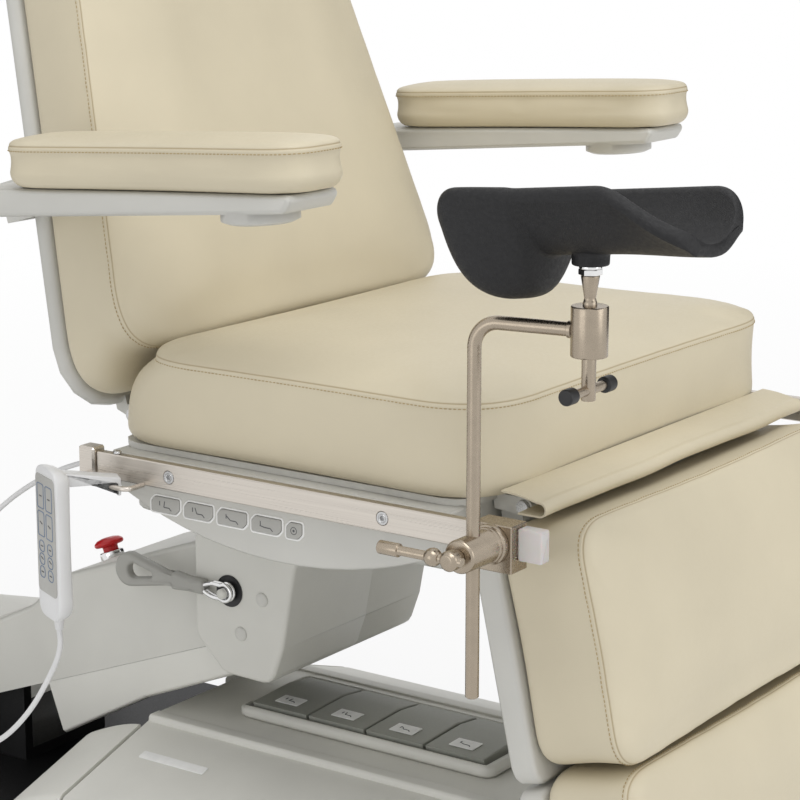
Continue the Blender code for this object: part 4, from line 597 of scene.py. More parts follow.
def pad_rows(side, edge_rise, edge_reach):
    """Rows (height, inset) up a pad's side: rolled foot, drawn-in wall, seam groove, rounded face edge."""
    foot = np.radians(np.linspace(0, 90, 5))
    rows = list(zip(CUSHION_ROLL * (1 - np.cos(foot)), CUSHION_ROLL * (1 - np.sin(foot))))
    wall = np.linspace(CUSHION_ROLL, side - 0.0075, 7)[1:]
    rows += list(zip(wall, 0.002 * np.sin(np.pi * (wall - CUSHION_ROLL) / (side - CUSHION_ROLL))))
    stitch_row = len(rows)
    rows += [(side - STITCH_DROP, 0.0002), (side - 0.0022, 0.0001), (side - 0.0009, 0.0003)]
    seam_row = len(rows)
    rows += [(side, SEAM_DIP), (side + 0.0010, 0.0009)]
    bend = np.radians(np.linspace(24, 72, 4))
    rows += list(zip(side + edge_rise * np.sin(bend), 0.0010 + edge_reach * (1 - np.cos(bend))))
    return np.array(rows), stitch_row, seam_row


def pad_face(boundary, across, along, level, crown, reach, swell):
    """A Coons patch inside the last ring, raised by crown * ramp * ramp of the distances to its edges."""
    index = np.empty((across + 1, along + 1), int)
    index[:, 0] = np.arange(across + 1)
    index[across] = across + np.arange(along + 1)
    index[:, along] = across + along + np.arange(across, -1, -1)
    index[0] = (2 * across + along + np.arange(along, -1, -1)) % len(boundary)
    u = np.linspace(0, 1, across + 1)[:, None, None]
    v = np.linspace(0, 1, along + 1)[None, :, None]
    south, north = boundary[index[:, 0]][:, None], boundary[index[:, along]][:, None]
    west, east = boundary[index[0]][None], boundary[index[across]][None]
    flat = (1 - v) * south + v * north + (1 - u) * west + u * east
    flat -= (1 - u) * (1 - v) * south[:1] + u * (1 - v) * south[-1:]
    flat -= (1 - u) * v * north[:1] + u * v * north[-1:]
    width = np.abs(east[0, :, 0] - west[0, :, 0])[None]
    length = np.abs(north[:, 0, 1] - south[:, 0, 1])[:, None]
    side_gap = np.minimum(u, 1 - u)[..., 0] * width
    end_gap = np.minimum(v, 1 - v)[..., 0] * length
    ramp = [1 - (1 - np.clip(gap / reach, 0, 1)) ** 1.7 for gap in (side_gap, end_gap)]
    height = level + crown * ramp[0] * ramp[1] + swell(u[..., 0], v[..., 0]) * ramp[0] * ramp[1]
    return flat, height, index


def inflated(mesh, still, cap, calm):
    """Cloth under pressure, held at the still points; a point moves by cap * tanh(move / cap) * calm."""
    rest = np.empty(len(mesh.vertices) * 3)
    mesh.vertices.foreach_get("co", rest)
    rest = rest.reshape(-1, 3)
    pad = bpy.data.objects.new("pad_in_press", mesh.copy())
    scene.collection.objects.link(pad)
    group = pad.vertex_groups.new(name="held")
    group.add(np.flatnonzero(still).tolist(), 1.0, "REPLACE")
    cloth = pad.modifiers.new("press", "CLOTH")
    settings = cloth.settings
    settings.quality = 5
    settings.mass = 0.3
    settings.tension_stiffness = settings.compression_stiffness = 18
    settings.shear_stiffness = 9
    settings.bending_stiffness = 2.0
    settings.air_damping = 3
    settings.use_pressure = True
    settings.uniform_pressure_force = 4.0
    settings.vertex_group_mass = "held"
    settings.pin_stiffness = 1.0
    settings.effector_weights.gravity = 0
    cloth.collision_settings.use_collision = False
    cloth.point_cache.frame_start = 1
    cloth.point_cache.frame_end = SIM_FRAMES
    for number in range(1, SIM_FRAMES + 1):
        scene.frame_set(number)
    moved = np.empty(len(rest) * 3)
    shown = pad.evaluated_get(bpy.context.evaluated_depsgraph_get())
    shown.data.vertices.foreach_get("co", moved)
    scene.frame_set(1)
    bpy.data.objects.remove(pad)
    step = moved.reshape(-1, 3) - rest
    length = np.maximum(np.linalg.norm(step, axis=1, keepdims=True), 1e-9)
    return rest + step / length * cap * np.tanh(length / cap) * calm[:, None]


def stitches(ring, outward):
    """Short threads laid end to end along a ring: each is a lens r = R (1 - s^2)^(1/2) about its line."""
    loop = np.concatenate((ring, ring[:1]))
    run = np.concatenate(([0], np.cumsum(np.linalg.norm(np.diff(loop, axis=0), axis=1))))
    count = int(run[-1] / STITCH_PITCH)
    middle = np.linspace(0, run[-1], count, endpoint=False)

    def spot(distance):
        return np.stack([np.interp(distance % run[-1], run, loop[:, k]) for k in range(3)], axis=-1)

    facing = np.concatenate((outward, outward[:1]))
    normal = unit(np.stack([np.interp(middle, run, facing[:, k]) for k in range(3)], axis=-1))
    direction = unit(spot(middle + STITCH_HALF) - spot(middle - STITCH_HALF))
    across = np.cross(direction, normal)
    s = np.array((-1.0, -0.55, 0.55, 1.0))
    size = STITCH_RADIUS * np.array((0.35, 1.0, 1.0, 0.35))
    angle = np.linspace(0, 2 * math.pi, 6, endpoint=False)
    center = spot(middle) + 0.25 * STITCH_RADIUS * normal
    grid = (center[:, None, None] + (STITCH_HALF * s)[None, :, None, None] * direction[:, None, None]
            + size[None, :, None, None] * (np.cos(angle)[None, None, :, None] * normal[:, None, None]
                                           + np.sin(angle)[None, None, :, None] * across[:, None, None]))
    sample = lofted(grid[0])
    step = len(sample[0])
    shift = (np.arange(count) * step)[:, None, None]
    quads = (sample[1][None] + shift).reshape(-1, 4)
    lids = [lid for pair in sample[2] for lid in (pair[None] + shift[..., 0])]
    return grid.reshape(-1, 3), quads, lids


def make_cushion(name, node, halves, low, high, corner, side, crown, matrix, counts, reach=0.08, cap=0.006,
                 calm=None, swell=None, edge=(0.010, 0.020), seed=0.0):
    """A pad from its foot to its crowned face; low and high give its ends by height, matrix its place.

    In its own frame X runs across, Y along and Z out of the face.
    """
    across, along = counts
    rows, stitch_row, seam_row = pad_rows(side, *edge)
    rings = []
    for height, inset in rows:
        start, end = low(height) + inset, high(height) - inset
        slope = (halves[1] - halves[0]) / (end - start + 2 * inset)
        sides = (halves[0] - inset + slope * inset, halves[1] - inset - slope * inset)
        ring = pad_outline(sides, start, end, max(corner - inset, 0.01), across, along)
        rings.append(np.column_stack((ring, np.full(len(ring), height))))
    grid = np.array(rings)
    columns = grid.shape[1]
    run = np.cumsum(np.linalg.norm(np.diff(grid[seam_row], axis=0, append=grid[seam_row][:1]), axis=1))
    ripple = sum(np.sin(run * wave + seed + k) for k, wave in enumerate((96.0, 151.0, 233.0))) / 3
    near = np.exp(-((rows[:, 0] - side) / 0.013) ** 2) * np.where(np.arange(len(rows)) == seam_row, 0.3, 1.0)
    outward = mitres(grid[seam_row][:, :2])
    grid[..., :2] += outward[None] * (near[:, None] * ripple[None])[..., None] * 0.0006
    nothing = (lambda u, v: 0 * u * v)
    flat, height, index = pad_face(
        grid[-1, :, :2], across, along, rows[-1, 0], side + crown - rows[-1, 0], reach, swell or nothing)
    first = (len(rows) - 1) * columns
    index = index + first
    inner = np.arange((across - 1) * (along - 1)).reshape(across - 1, along - 1)
    index[1:-1, 1:-1] = inner + len(rows) * columns
    face = np.dstack((flat, height))[1:-1, 1:-1].reshape(-1, 3)
    points = np.concatenate((grid.reshape(-1, 3), face))
    corners = (index[:-1, :-1], index[1:, :-1], index[1:, 1:], index[:-1, 1:])
    face_quads = np.stack(corners, axis=-1).reshape(-1, 4)
    _, quads, lids = lofted(grid)
    part = (points, np.concatenate((quads, face_quads)), lids[:1])
    mesh = mesh_from(name, [part])
    row_of = np.minimum(np.arange(len(points)) // columns, len(rows))
    still = (row_of <= 4) | ((row_of >= stitch_row) & (row_of <= seam_row + 1))
    quiet = np.ones(len(points)) if calm is None else calm(points)
    points = inflated(mesh, still, cap, quiet)
    turn, origin = matrix[:3, :3], matrix[:3, 3]
    world = points @ turn.T + origin
    mesh.vertices.foreach_set("co", world.ravel())
    # painted shade: the seam row is marked 0.8 so that the vinyl darkens there as the groove's shade
    seam = np.zeros(len(points), np.float32)
    seam[row_of == seam_row] = 0.8
    mesh.attributes.new("seam", "FLOAT", "POINT").data.foreach_set("value", seam)
    mesh.update()
    item = add_piece(name, mesh, VINYL, frame["nodes"][node]["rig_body"], (node,), crease=0)
    finer = item.modifiers.new("finer", "SUBSURF")
    finer.levels = finer.render_levels = 1
    rim = world[stitch_row * columns:(stitch_row + 1) * columns]
    facing = np.column_stack((outward, np.zeros(columns))) @ turn.T
    threads = add_parts(f"{name}_stitches", [stitches(rim, facing)], THREAD,
                        frame["nodes"][node]["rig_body"], crease=0)
    return item, threads


def facing_frame(place, degrees, depth):
    """A pad frame on an upright panel: X across, Y up the panel, Z out of its front, from a depth behind."""
    panel = turn_x(place, degrees)
    matrix = np.eye(4)
    matrix[:3, 0] = panel[:3, 0]
    matrix[:3, 1] = panel[:3, 2]
    matrix[:3, 2] = -panel[:3, 1]
    matrix[:3, 3] = panel[:3, 3] + panel[:3, 1] * depth
    return matrix


SEAT_BASE = 0.4841
SEAT_FRONT, SEAT_REAR = -0.300, 0.150
SEAT_REAR_ROUND = 0.055
SEAT_HALF, SEAT_CORNER = 0.280, 0.068
SEAT_SIDE, SEAT_CROWN = 0.088, 0.016
BACK_HINGE = (0.0, 0.172, 0.492)
BACK_RECLINE = 16.6
BACK_REAR = 0.0114
BACK_HALVES, BACK_TOP, BACK_CORNER = (0.2768, 0.161), 0.770, 0.060
BACK_SIDE = 0.085
PANEL_CROWN = 0.014
LEG_HINGE = (0.0, -0.302, 0.474)
LEG_SLOPE = 12.56
LEG_FACE = 0.0077
LEG_BOTTOM, LEG_TOP = -0.235, -0.0125
FOOT_BOTTOM, FOOT_TOP = -0.3755, -0.2385
LEG_HALF, LEG_CORNER, LEG_SIDE = 0.262, 0.032, 0.0875
ARMREST_PIVOT = (0.315, 0.225, 0.720)
ARMREST_RISE = 3.5
PAD_BASE = 0.0128
PAD_HALF, PAD_SIDE, PAD_CROWN = 0.0445, 0.040, 0.009
PAD_FRONT, PAD_REAR, PAD_CORNER = -0.388, -0.025, 0.040


def seat_rear_end(height):
    """The seat's rear edge follows a quarter circle under the back: y = r0 - R + sqrt(R^2 - h^2)."""
    above = min(max(height - 0.03, 0.0), 0.95 * SEAT_REAR_ROUND)
    return SEAT_REAR - SEAT_REAR_ROUND + math.sqrt(SEAT_REAR_ROUND ** 2 - above ** 2)


def back_low_end(height):
    """The back's lower edge, cut back towards its face to clear the seat."""
    return 0.0225 + 0.0355 * float(smooth((height - 0.025) / 0.04))


def back_ridges(u, v):
    """Two soft upright ridges on the back's face: 4 mm (e^-((u - 0.2) / 0.1)^2 + e^-((u - 0.8) / 0.1)^2)."""
    return 0.004 * (np.exp(-((u - 0.2) / 0.1) ** 2) + np.exp(-((u - 0.8) / 0.1) ** 2)) + 0 * v


def make_cushions():
    """Seat, back, leg rest, foot rest and both armrest pads, each in its own frame."""
    flat = np.eye(4)
    flat[2, 3] = SEAT_BASE
    back = facing_frame(BACK_HINGE, -BACK_RECLINE, BACK_REAR)
    leg = facing_frame(LEG_HINGE, -LEG_SLOPE, LEG_FACE)
    make_cushion(
        "seat_pad", "seat_cushion", (SEAT_HALF, SEAT_HALF), lambda h: SEAT_FRONT, seat_rear_end, SEAT_CORNER,
        SEAT_SIDE, SEAT_CROWN, flat, (46, 38), reach=0.10, cap=0.005,
        calm=lambda p: 1 - 0.95 * smooth((p[:, 1] - 0.06) / 0.05), seed=0.4)
    make_cushion(
        "back_pad", "backrest_cushion", BACK_HALVES, back_low_end, lambda h: BACK_TOP, BACK_CORNER,
        BACK_SIDE, PANEL_CROWN, back, (40, 60), reach=0.09, cap=0.006,
        calm=lambda p: smooth((p[:, 1] - 0.05) / 0.06), swell=back_ridges, seed=1.3)
    make_cushion(
        "leg_pad", "legrest_cushion", (LEG_HALF, LEG_HALF), lambda h: LEG_BOTTOM, lambda h: LEG_TOP,
        LEG_CORNER, LEG_SIDE, PANEL_CROWN, leg, (44, 24), reach=0.085, cap=0.006,
        calm=lambda p: smooth((p[:, 1] - LEG_BOTTOM) / 0.03) * smooth((LEG_TOP - p[:, 1]) / 0.02), seed=2.1)
    make_cushion(
        "foot_pad", "footrest_cushion", (LEG_HALF, LEG_HALF), lambda h: FOOT_BOTTOM, lambda h: FOOT_TOP,
        LEG_CORNER, LEG_SIDE, PANEL_CROWN, leg, (44, 18), reach=0.06, cap=0.005,
        calm=lambda p: smooth((FOOT_TOP - p[:, 1]) / 0.03), seed=3.7)
    for side, word in ((-1, "right"), (1, "left")):
        matrix = turn_x((side * ARMREST_PIVOT[0], *ARMREST_PIVOT[1:]), -ARMREST_RISE)
        matrix[:3, 3] += matrix[:3, 2] * PAD_BASE
        make_cushion(
            f"armrest_top_{word}", f"armrest_pad_{word}", (PAD_HALF, PAD_HALF), lambda h: PAD_FRONT,
            lambda h: PAD_REAR, PAD_CORNER, PAD_SIDE, PAD_CROWN, matrix, (16, 56), reach=0.03, cap=0.003,
            edge=(0.006, 0.010), seed=4.4 + side)


make_cushions()


# Folded vinyl flap between the seat and the leg rest

FLAP_HALF = 0.252
FLAP_WALL = 0.0016


def make_flap():
    """A strip that leaves the seat, droops, folds round a loop and returns under itself, slightly wavy."""
    center = np.array((-0.338, 0.4831))
    radius = 0.0062
    bend = circle_points(center, radius, 80, 268, 26)
    top = np.linspace((-0.2988, 0.4950), bend[0], 14, endpoint=False)
    top[:, 1] += 0.0010 * np.sin(np.linspace(0, math.pi, 14))
    under = np.linspace(bend[-1], (-0.316, 0.4768), 8)[1:]
    line = np.concatenate((top, bend, under))
    tangent = unit(np.gradient(line, axis=0))
    normal = np.stack((-tangent[:, 1], tangent[:, 0]), axis=-1)
    section = np.concatenate((line + normal * FLAP_WALL / 2, (line - normal * FLAP_WALL / 2)[::-1]))
    across = np.linspace(-FLAP_HALF, FLAP_HALF, 90)
    grid = np.empty((len(across), len(section), 3))
    grid[..., 0] = across[:, None]
    grid[..., 1:] = section[None]
    free = smooth((-0.302 - section[:, 0]) / 0.02)[None]
    wave = np.sin(across * 31 + 0.6) * 0.0009 + np.sin(across * 57 + 2.0) * 0.0005
    grid[..., 1] += wave[:, None] * free
    grid[..., 2] += 0.5 * np.sin(across * 23 + 1.1)[:, None] * 0.0009 * free
    flap = add_parts("flap_strip", [lofted(grid)], VINYL, "seat", ("seat_flap",), crease=50)
    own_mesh(flap)


make_flap()


# Leg support

SUPPORT_X, SUPPORT_Y = -0.345, -0.331
RAIL_MIDDLE = 0.4675
COLLAR_Z = RAIL_MIDDLE
ROD_RADIUS = 0.006
BARREL = np.array((-0.32904, -0.43174))
BARREL_LOW, BARREL_HIGH = 0.645, 0.687
CRUTCH_THIGH, CRUTCH_CALF = -0.322, -0.546
CRUTCH_WALL = 0.0105
CRUTCH_TILT = 6.0
CRUTCH_PIVOT_Z = 0.735
LOBE_LOWEST = 0.20
ROD_BEND = 0.022
ROD_TOP, ROD_LOW = 0.666, 0.3385
LOCK_BAR_Z = 0.617


def end_round(distance, reach, least):
    """A quarter ellipse from the least value at an end to 1 beyond its reach."""
    share = np.clip(distance / reach, 0, 1)
    return least + (1 - least) * np.sqrt(1 - (1 - share) ** 2)


def crutch_keel(share):
    """The underside along its middle: a quarter ellipse to the lobe, a steep rise, then nearly level."""
    front = 0.746 - 0.052 * np.sqrt(np.clip(1 - (1 - share / LOBE_LOWEST) ** 2, 0, 1))
    rise = np.clip((share - LOBE_LOWEST) / 0.13, 0, 1)
    back = 0.729 - 0.035 * np.sqrt(1 - rise ** 4) - 0.003 * smooth((share - 0.6) / 0.4)
    return np.where(share < LOBE_LOWEST, front, back)


def crutch_upper(share, across):
    """The trough's upper face: floor + (rim - floor) |a|^p, boxy at the thigh, its near rim dropping."""
    floor = crutch_keel(share) + CRUTCH_WALL
    thigh = 0.020 * (1 - end_round(share, 0.10, 0.0))
    calf = 1 - end_round(1 - share, 0.12, 0.0)
    near = 0.785 - thigh - 0.030 * smooth((share - 0.68) / 0.30) - 0.012 * calf
    far = 0.772 - thigh - 0.022 * calf
    rim = np.maximum(np.where(across < 0, near, far), floor + 0.002)
    half = 0.050 * end_round(share, 0.10, 0.72) * end_round(1 - share, 0.20, 0.60)
    power = 2.4 + 5.0 * (1 - smooth(share / 0.30))
    height = floor + (rim - floor) * np.abs(across) ** power
    y = CRUTCH_THIGH + (CRUTCH_CALF - CRUTCH_THIGH) * share
    return np.stack(np.broadcast_arrays(BARREL[0] + across * half, y, height), axis=-1)


def tilted(points):
    """Points turned about the socket so that the calf end rises."""
    angle = math.radians(CRUTCH_TILT)
    y, z = points[..., 1] - BARREL[1], points[..., 2] - CRUTCH_PIVOT_Z
    turned_points = points.copy()
    turned_points[..., 1] = BARREL[1] + math.cos(angle) * y + math.sin(angle) * z
    turned_points[..., 2] = CRUTCH_PIVOT_Z + math.cos(angle) * z - math.sin(angle) * y
    return turned_points


def crutch_grid():
    """Loops round the trough: mid face plus and minus half its wall, joined by half circles at the rims."""
    along = 0.5 - 0.5 * np.cos(np.linspace(0.06, math.pi - 0.06, 70))
    stations = np.concatenate(([0.0] * 5, along, [1.0] * 5))
    tilt = np.radians(np.concatenate((np.linspace(84, 0, 6)[:5], np.zeros(70), np.linspace(0, 84, 6)[1:])))
    end = np.concatenate((-np.ones(5), np.zeros(70), np.ones(5)))
    across = np.sin(np.linspace(-0.5, 0.5, 41) * math.pi)
    upper = crutch_upper(stations[:, None], across[None])
    step = np.gradient(upper, axis=1)
    normal = unit(np.stack((-step[..., 2], 0 * step[..., 0], step[..., 0]), axis=-1))
    wall = CRUTCH_WALL + 0.0045 * np.abs(across) ** 6
    half = (0.5 * wall[None] * np.cos(tilt)[:, None])[..., None]
    middle = upper - normal * (0.5 * wall)[None, :, None]
    middle[..., 1] -= end[:, None] * 0.16 * wall[None] * np.sin(tilt)[:, None]
    bend = np.linspace(0, math.pi, 9)[1:-1]
    outward = unit(step[:, -1:])
    rim_far = (middle[:, -1:] + half[:, -1:] * (np.cos(bend)[None, :, None] * normal[:, -1:]
                                               + np.sin(bend)[None, :, None] * outward))
    outward = -unit(step[:, :1])
    rim_near = (middle[:, :1] + half[:, :1] * (-np.cos(bend)[None, :, None] * normal[:, :1]
                                               + np.sin(bend)[None, :, None] * outward))
    under = (middle - normal * half)[:, ::-1]
    return tilted(np.concatenate((middle + normal * half, rim_far, under, rim_near), axis=1))


def make_leg_support():
    """Crutch, stem, nut, bent rod, lock bar, collar and clamp handle, mostly lathe forms on two axes."""
    shell = lofted(crutch_grid())
    socket = lathe((
        (0.7203, 0.0130), (0.7203, 0.0155), (0.729, 0.0157), (0.7375, 0.0215), (0.738, 0.010)), 0.002)
    post = (BARREL[0], BARREL[1], 0)
    column = turned(post, (0, 0, 1), socket)
    crutch = add_parts("knee_crutch", [shell, column], FOAM, "crutch", ("crutch_shell",), crease=60)
    finer = crutch.modifiers.new("finer", "SUBSURF")
    finer.levels = finer.render_levels = 1

    stem = lathe((
        (0.6668, 0.0030), (0.6668, 0.0059), (0.6895, 0.0059), (0.6925, 0.0047), (0.698, 0.0056),
        (0.7118, 0.0079), (0.7119, 0.004)))
    add_parts("crutch_post", [turned(post, (0, 0, 1), stem)], NICKEL, "crutch", ("crutch_stem",))
    nut = extruded(circle_points(BARREL, 0.0098, 0, 300, 6), "Z", 0.7121, 0.7172, 0.0008)
    washer = lathe(((0.7174, 0.006), (0.7174, 0.0094), (0.7200, 0.0094), (0.7200, 0.006)), 0.0005)
    washer = turned(post, (0, 0, 1), washer)
    add_parts("crutch_nut", [nut, washer], CHROME, "crutch", crease=30)

    ahead = BARREL - np.array((SUPPORT_X, SUPPORT_Y))
    toward = np.array((*unit(ahead), 0))
    corner = np.array((SUPPORT_X, SUPPORT_Y, ROD_TOP))
    angle = np.radians(np.linspace(0, 90, 14))[:, None]
    up = np.array((0, 0, ROD_BEND))
    bend = corner + toward * ROD_BEND - up - toward * ROD_BEND * np.cos(angle) + up * np.sin(angle)
    low = np.linspace((SUPPORT_X, SUPPORT_Y, ROD_LOW), bend[0], 10, endpoint=False)
    run = np.linspace(bend[-1], corner + toward * (np.linalg.norm(ahead) - 0.012), 6)[1:]
    path = np.concatenate((low[:1] - np.array((0, 0, 0.0012)), low, bend, run))
    radius = np.full(len(path), ROD_RADIUS)
    radius[0] = ROD_RADIUS - 0.0012
    rod = swept(path, radius, 28)
    barrel = lathe((
        (BARREL_LOW, 0.0066), (BARREL_LOW, 0.0155), (BARREL_HIGH, 0.0155), (BARREL_HIGH, 0.0066)), 0.0013)
    ferrule = turned(corner + toward * (np.linalg.norm(ahead) - 0.0185), toward,
                     lathe(((0, 0.0061), (0, 0.0072), (0.004, 0.0072), (0.004, 0.0061)), 0.0006))
    add_parts("bent_rod", [rod, turned(post, (0, 0, 1), barrel), ferrule], NICKEL, "rod", ("support_rod",))

    shaft = lathe((
        (0.6085, 0.004), (0.6085, 0.0060), (0.6445, 0.0060), (0.6660, 0.0058), (0.6660, 0.003)), 0.0008)
    bar_foot = np.array((BARREL[0] - 0.023, BARREL[1], LOCK_BAR_Z))
    bar = turned(bar_foot, (1, 0, 0), ((0, 0.0042), (0.046, 0.0042)))
    add_parts("lock_screw", [turned(post, (0, 0, 1), shaft), bar], NICKEL, "lock", ("lock_bar",))
    cap = lathe((
        (0, 0.002), (0, 0.0058), (0.0015, 0.0069), (0.0125, 0.0069), (0.014, 0.0048),
        (0.014, 0.002)), 0.0008)
    ends = [np.array((BARREL[0] + side * 0.0370, BARREL[1], LOCK_BAR_Z)) for side in (-1, 1)]
    caps = [turned(place, (-side, 0, 0), cap) for side, place in zip((-1, 1), ends)]
    add_parts("lock_caps", caps, BLACK, "lock")

    dressed("rail_clamp", NICKEL, 30)
    hub = (0.0, SUPPORT_Y, COLLAR_Z)
    inner, outer = 0.3166, 0.3675
    collar = lathe((
        (inner, 0.006), (inner, 0.0178), (0.3222, 0.0178), (0.3226, 0.0160), (0.3255, 0.0160),
        (0.3260, 0.0148), (0.3655, 0.0148), (outer, 0.0133), (outer, 0.006)), 0.0006, 2)
    sleeve = turned(hub, (-1, 0, 0), collar, 48)
    add_parts("swivel_collar", [sleeve], NICKEL, "collar", ("clamp_collar",), crease=30)
    knob = lathe((
        (0.3678, 0.003), (0.3678, 0.0072), (0.372, 0.0072), (0.3735, 0.0088), (0.3825, 0.0090),
        (0.3858, 0.0060), (0.3858, 0.002)), 0.0012)
    bar_x = -0.3786
    bar = turned((bar_x, SUPPORT_Y - 0.012, COLLAR_Z), (0, 1, 0), lathe(
        ((0, 0.002), (0, 0.0042), (0.064, 0.0042), (0.0645, 0.0060), (0.0845, 0.0060), (0.085, 0.0052),
         (0.085, 0.002)), 0.0005, 2), 28)
    bead = ball((bar_x, SUPPORT_Y + 0.018, COLLAR_Z), 0.0082, (0, 1, 0))
    parts = [turned(hub, (-1, 0, 0), knob), bar, bead]
    add_parts("clamp_tommy_bar", parts, NICKEL, "handle", ("clamp_handle",), crease=35)


make_leg_support()


# Rails, bolts, end caps

RAIL_FACE = 0.305
BOLT_YS = (0.040, -0.208)


def bolt_head(side, y):
    """A socket screw's face: rings from its rim to a six-lobed socket r = 2.5 + 0.35 cos 6t, then down."""
    angle = np.linspace(0, 2 * math.pi, 48, endpoint=False)
    lobed = 0.0025 + 0.00035 * np.cos(6 * angle)
    radius = np.stack([np.full(48, 0.0063), np.full(48, 0.0064), np.full(48, 0.0060), np.full(48, 0.0042),
                       np.full(48, 0.0039), np.full(48, 0.0036), lobed, lobed * 0.98])
    depth = np.array((-0.0060, -0.0006, 0.0002, 0.0002, -0.0002, 0.0002, 0.0001, -0.0024))[:, None]
    grid = np.stack((np.broadcast_to(side * (RAIL_FACE + depth), radius.shape), y + radius * np.cos(angle),
                     RAIL_MIDDLE + radius * np.sin(angle)), axis=-1)
    return lofted(grid)


def make_rails():
    """Both rails with their end caps and screws, and the rear stop."""
    for word in ("right", "left"):
        dressed(f"side_rail_{word}", RAIL_STEEL, 30)
        side = -1 if word == "right" else 1
        cap = eased(((-0.3070, 0.4530), (-0.2930, 0.4530), (-0.2930, 0.4820), (-0.3070, 0.4820)), 0.0022, 4)
        cap = np.column_stack((-side * cap[:, 0], cap[:, 1]))
        block = extruded(cap, "Y", -0.3753, -0.3513, 0.002)
        add_parts(f"rail_end_{word}", [block], MILKY, "seat", (f"rail_cap_{word}",))
    for number, y in enumerate(BOLT_YS):
        place = number + 1
        head = bolt_head(-1, y)
        add_parts(f"rail_screw_{place}", [head], STEEL, "seat", (f"rail_bolt_{place}",), crease=30)
        washer = turned((RAIL_FACE + 0.0002, y, RAIL_MIDDLE), (1, 0, 0),
                        lathe(((0, 0.003), (0, 0.0070), (0.0012, 0.0066), (0.0012, 0.003)), 0.0004))
        hexagon = circle_points((y, RAIL_MIDDLE), 0.0028, 0, 300, 6)
        socket = extruded(hexagon, "X", RAIL_FACE + 0.0008, RAIL_FACE + 0.0018, 0.0002)
        add_parts(f"far_rail_screw_{place}", [washer, socket], STEEL, "seat")
    dressed("rail_stop", RAIL_STEEL, 30)
    screw = lathe(((0, 0.002), (0, 0.0042), (0.0018, 0.0040), (0.0030, 0.0025), (0.0031, 0.001)), 0.0006)
    screw = turned((-0.300, 0.1080, 0.4802), (0, 0, 1), screw, 24)
    add_parts("stop_screw", [screw], STEEL, "seat")


make_rails()


# Side console keys, their icons, the handset

KEY_CHAMFER, KEY_EASE = 0.005, 0.0016
KEY_RIM_X = -0.2851
HOOK_Z, HOOK_RADIUS = 0.4555, 0.0025
KEYPAD_FACE, KEYPAD_COLUMN = -0.0107, 0.0098


def stroke(points, width, axis, low, high):
    """A flat line of constant width along a polyline of (first, second) points, raised from low to high."""
    points = np.asarray(points, float)
    tangent = unit(np.gradient(points, axis=0))
    normal = np.stack((-tangent[:, 1], tangent[:, 0]), axis=-1) * width / 2
    return extruded(np.concatenate((points + normal, (points - normal)[::-1])), axis, low, high, 0.00005, 1)


def seat_icon(y, z, turn, size):
    """A seat drawn from the side: a back stroke, a seat stroke and a leg stroke, with a small tick."""
    back = np.radians(100 - turn)
    joint = np.array((y + 0.12 * size, z - 0.18 * size))
    top = joint + 0.5 * size * np.array((np.cos(back), np.sin(back)))
    knee = joint + np.array((-0.55 * size, 0))
    foot = knee + np.array((-0.22 * size, -0.22 * size))
    tick = np.array((y + 0.55 * size, z + 0.1 * size))
    return [np.stack((top, joint)), np.stack((joint, knee)), np.stack((knee, foot)),
            np.stack((tick + np.array((0, 0.18 * size)), tick - np.array((0, 0.18 * size))))]


def make_keys():
    """Five keys with two cut corners, each with a drawn mark and a light border round its opening."""
    for number in range(5):
        name = f"console_key_{number + 1}"
        low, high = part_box(name)
        outline = eased((
            (low.y, low.z + KEY_CHAMFER), (low.y + KEY_CHAMFER, low.z), (high.y, low.z),
            (high.y, high.z - KEY_CHAMFER), (high.y - KEY_CHAMFER, high.z), (low.y, high.z)), KEY_EASE, 4)
        body = frame["nodes"][name]["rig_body"]
        key = extruded(outline, "X", low.x, high.x, 0.0009)
        add_parts(f"key_cap_{number + 1}", [key], KEY_GREY, body, (name,))
        y, z = (low.y + high.y) / 2, (low.z + high.z) / 2
        face = low.x
        if number < 4:
            marks = [stroke(line, 0.0009, "X", face - 0.0002, face + 0.0004)
                     for line in seat_icon(y, z, 30 * number, 0.012)]
        else:
            ring = circle_points((y, z), 0.0034, 0, 360, 25)[:-1]
            loop = np.column_stack((np.full(24, face + 0.0001), ring))
            dot = turned((face - 0.0002, y, z), (1, 0, 0), ((0, 0.0012), (0.0006, 0.0012)), 16)
            marks = [swept(loop, 0.0004, 6, closed=True), dot]
        add_parts(f"key_icon_{number + 1}", marks, ICON, body)
        surround = outline + mitres(outline) * 0.0013
        loop = np.column_stack((np.full(len(surround), KEY_RIM_X), surround))
        border = swept(loop, 0.0010, 8, closed=True)
        add_parts(f"key_rim_{number + 1}", [border], LABEL, "seat")


make_keys()


def rounded_plate(center, size, corner):
    """A rounded rectangle's outline about a centre."""
    half = np.asarray(size) / 2
    signs = np.array(((-1, -1), (1, -1), (1, 1), (-1, 1)))
    return eased(np.asarray(center) + signs * half, corner, 5)


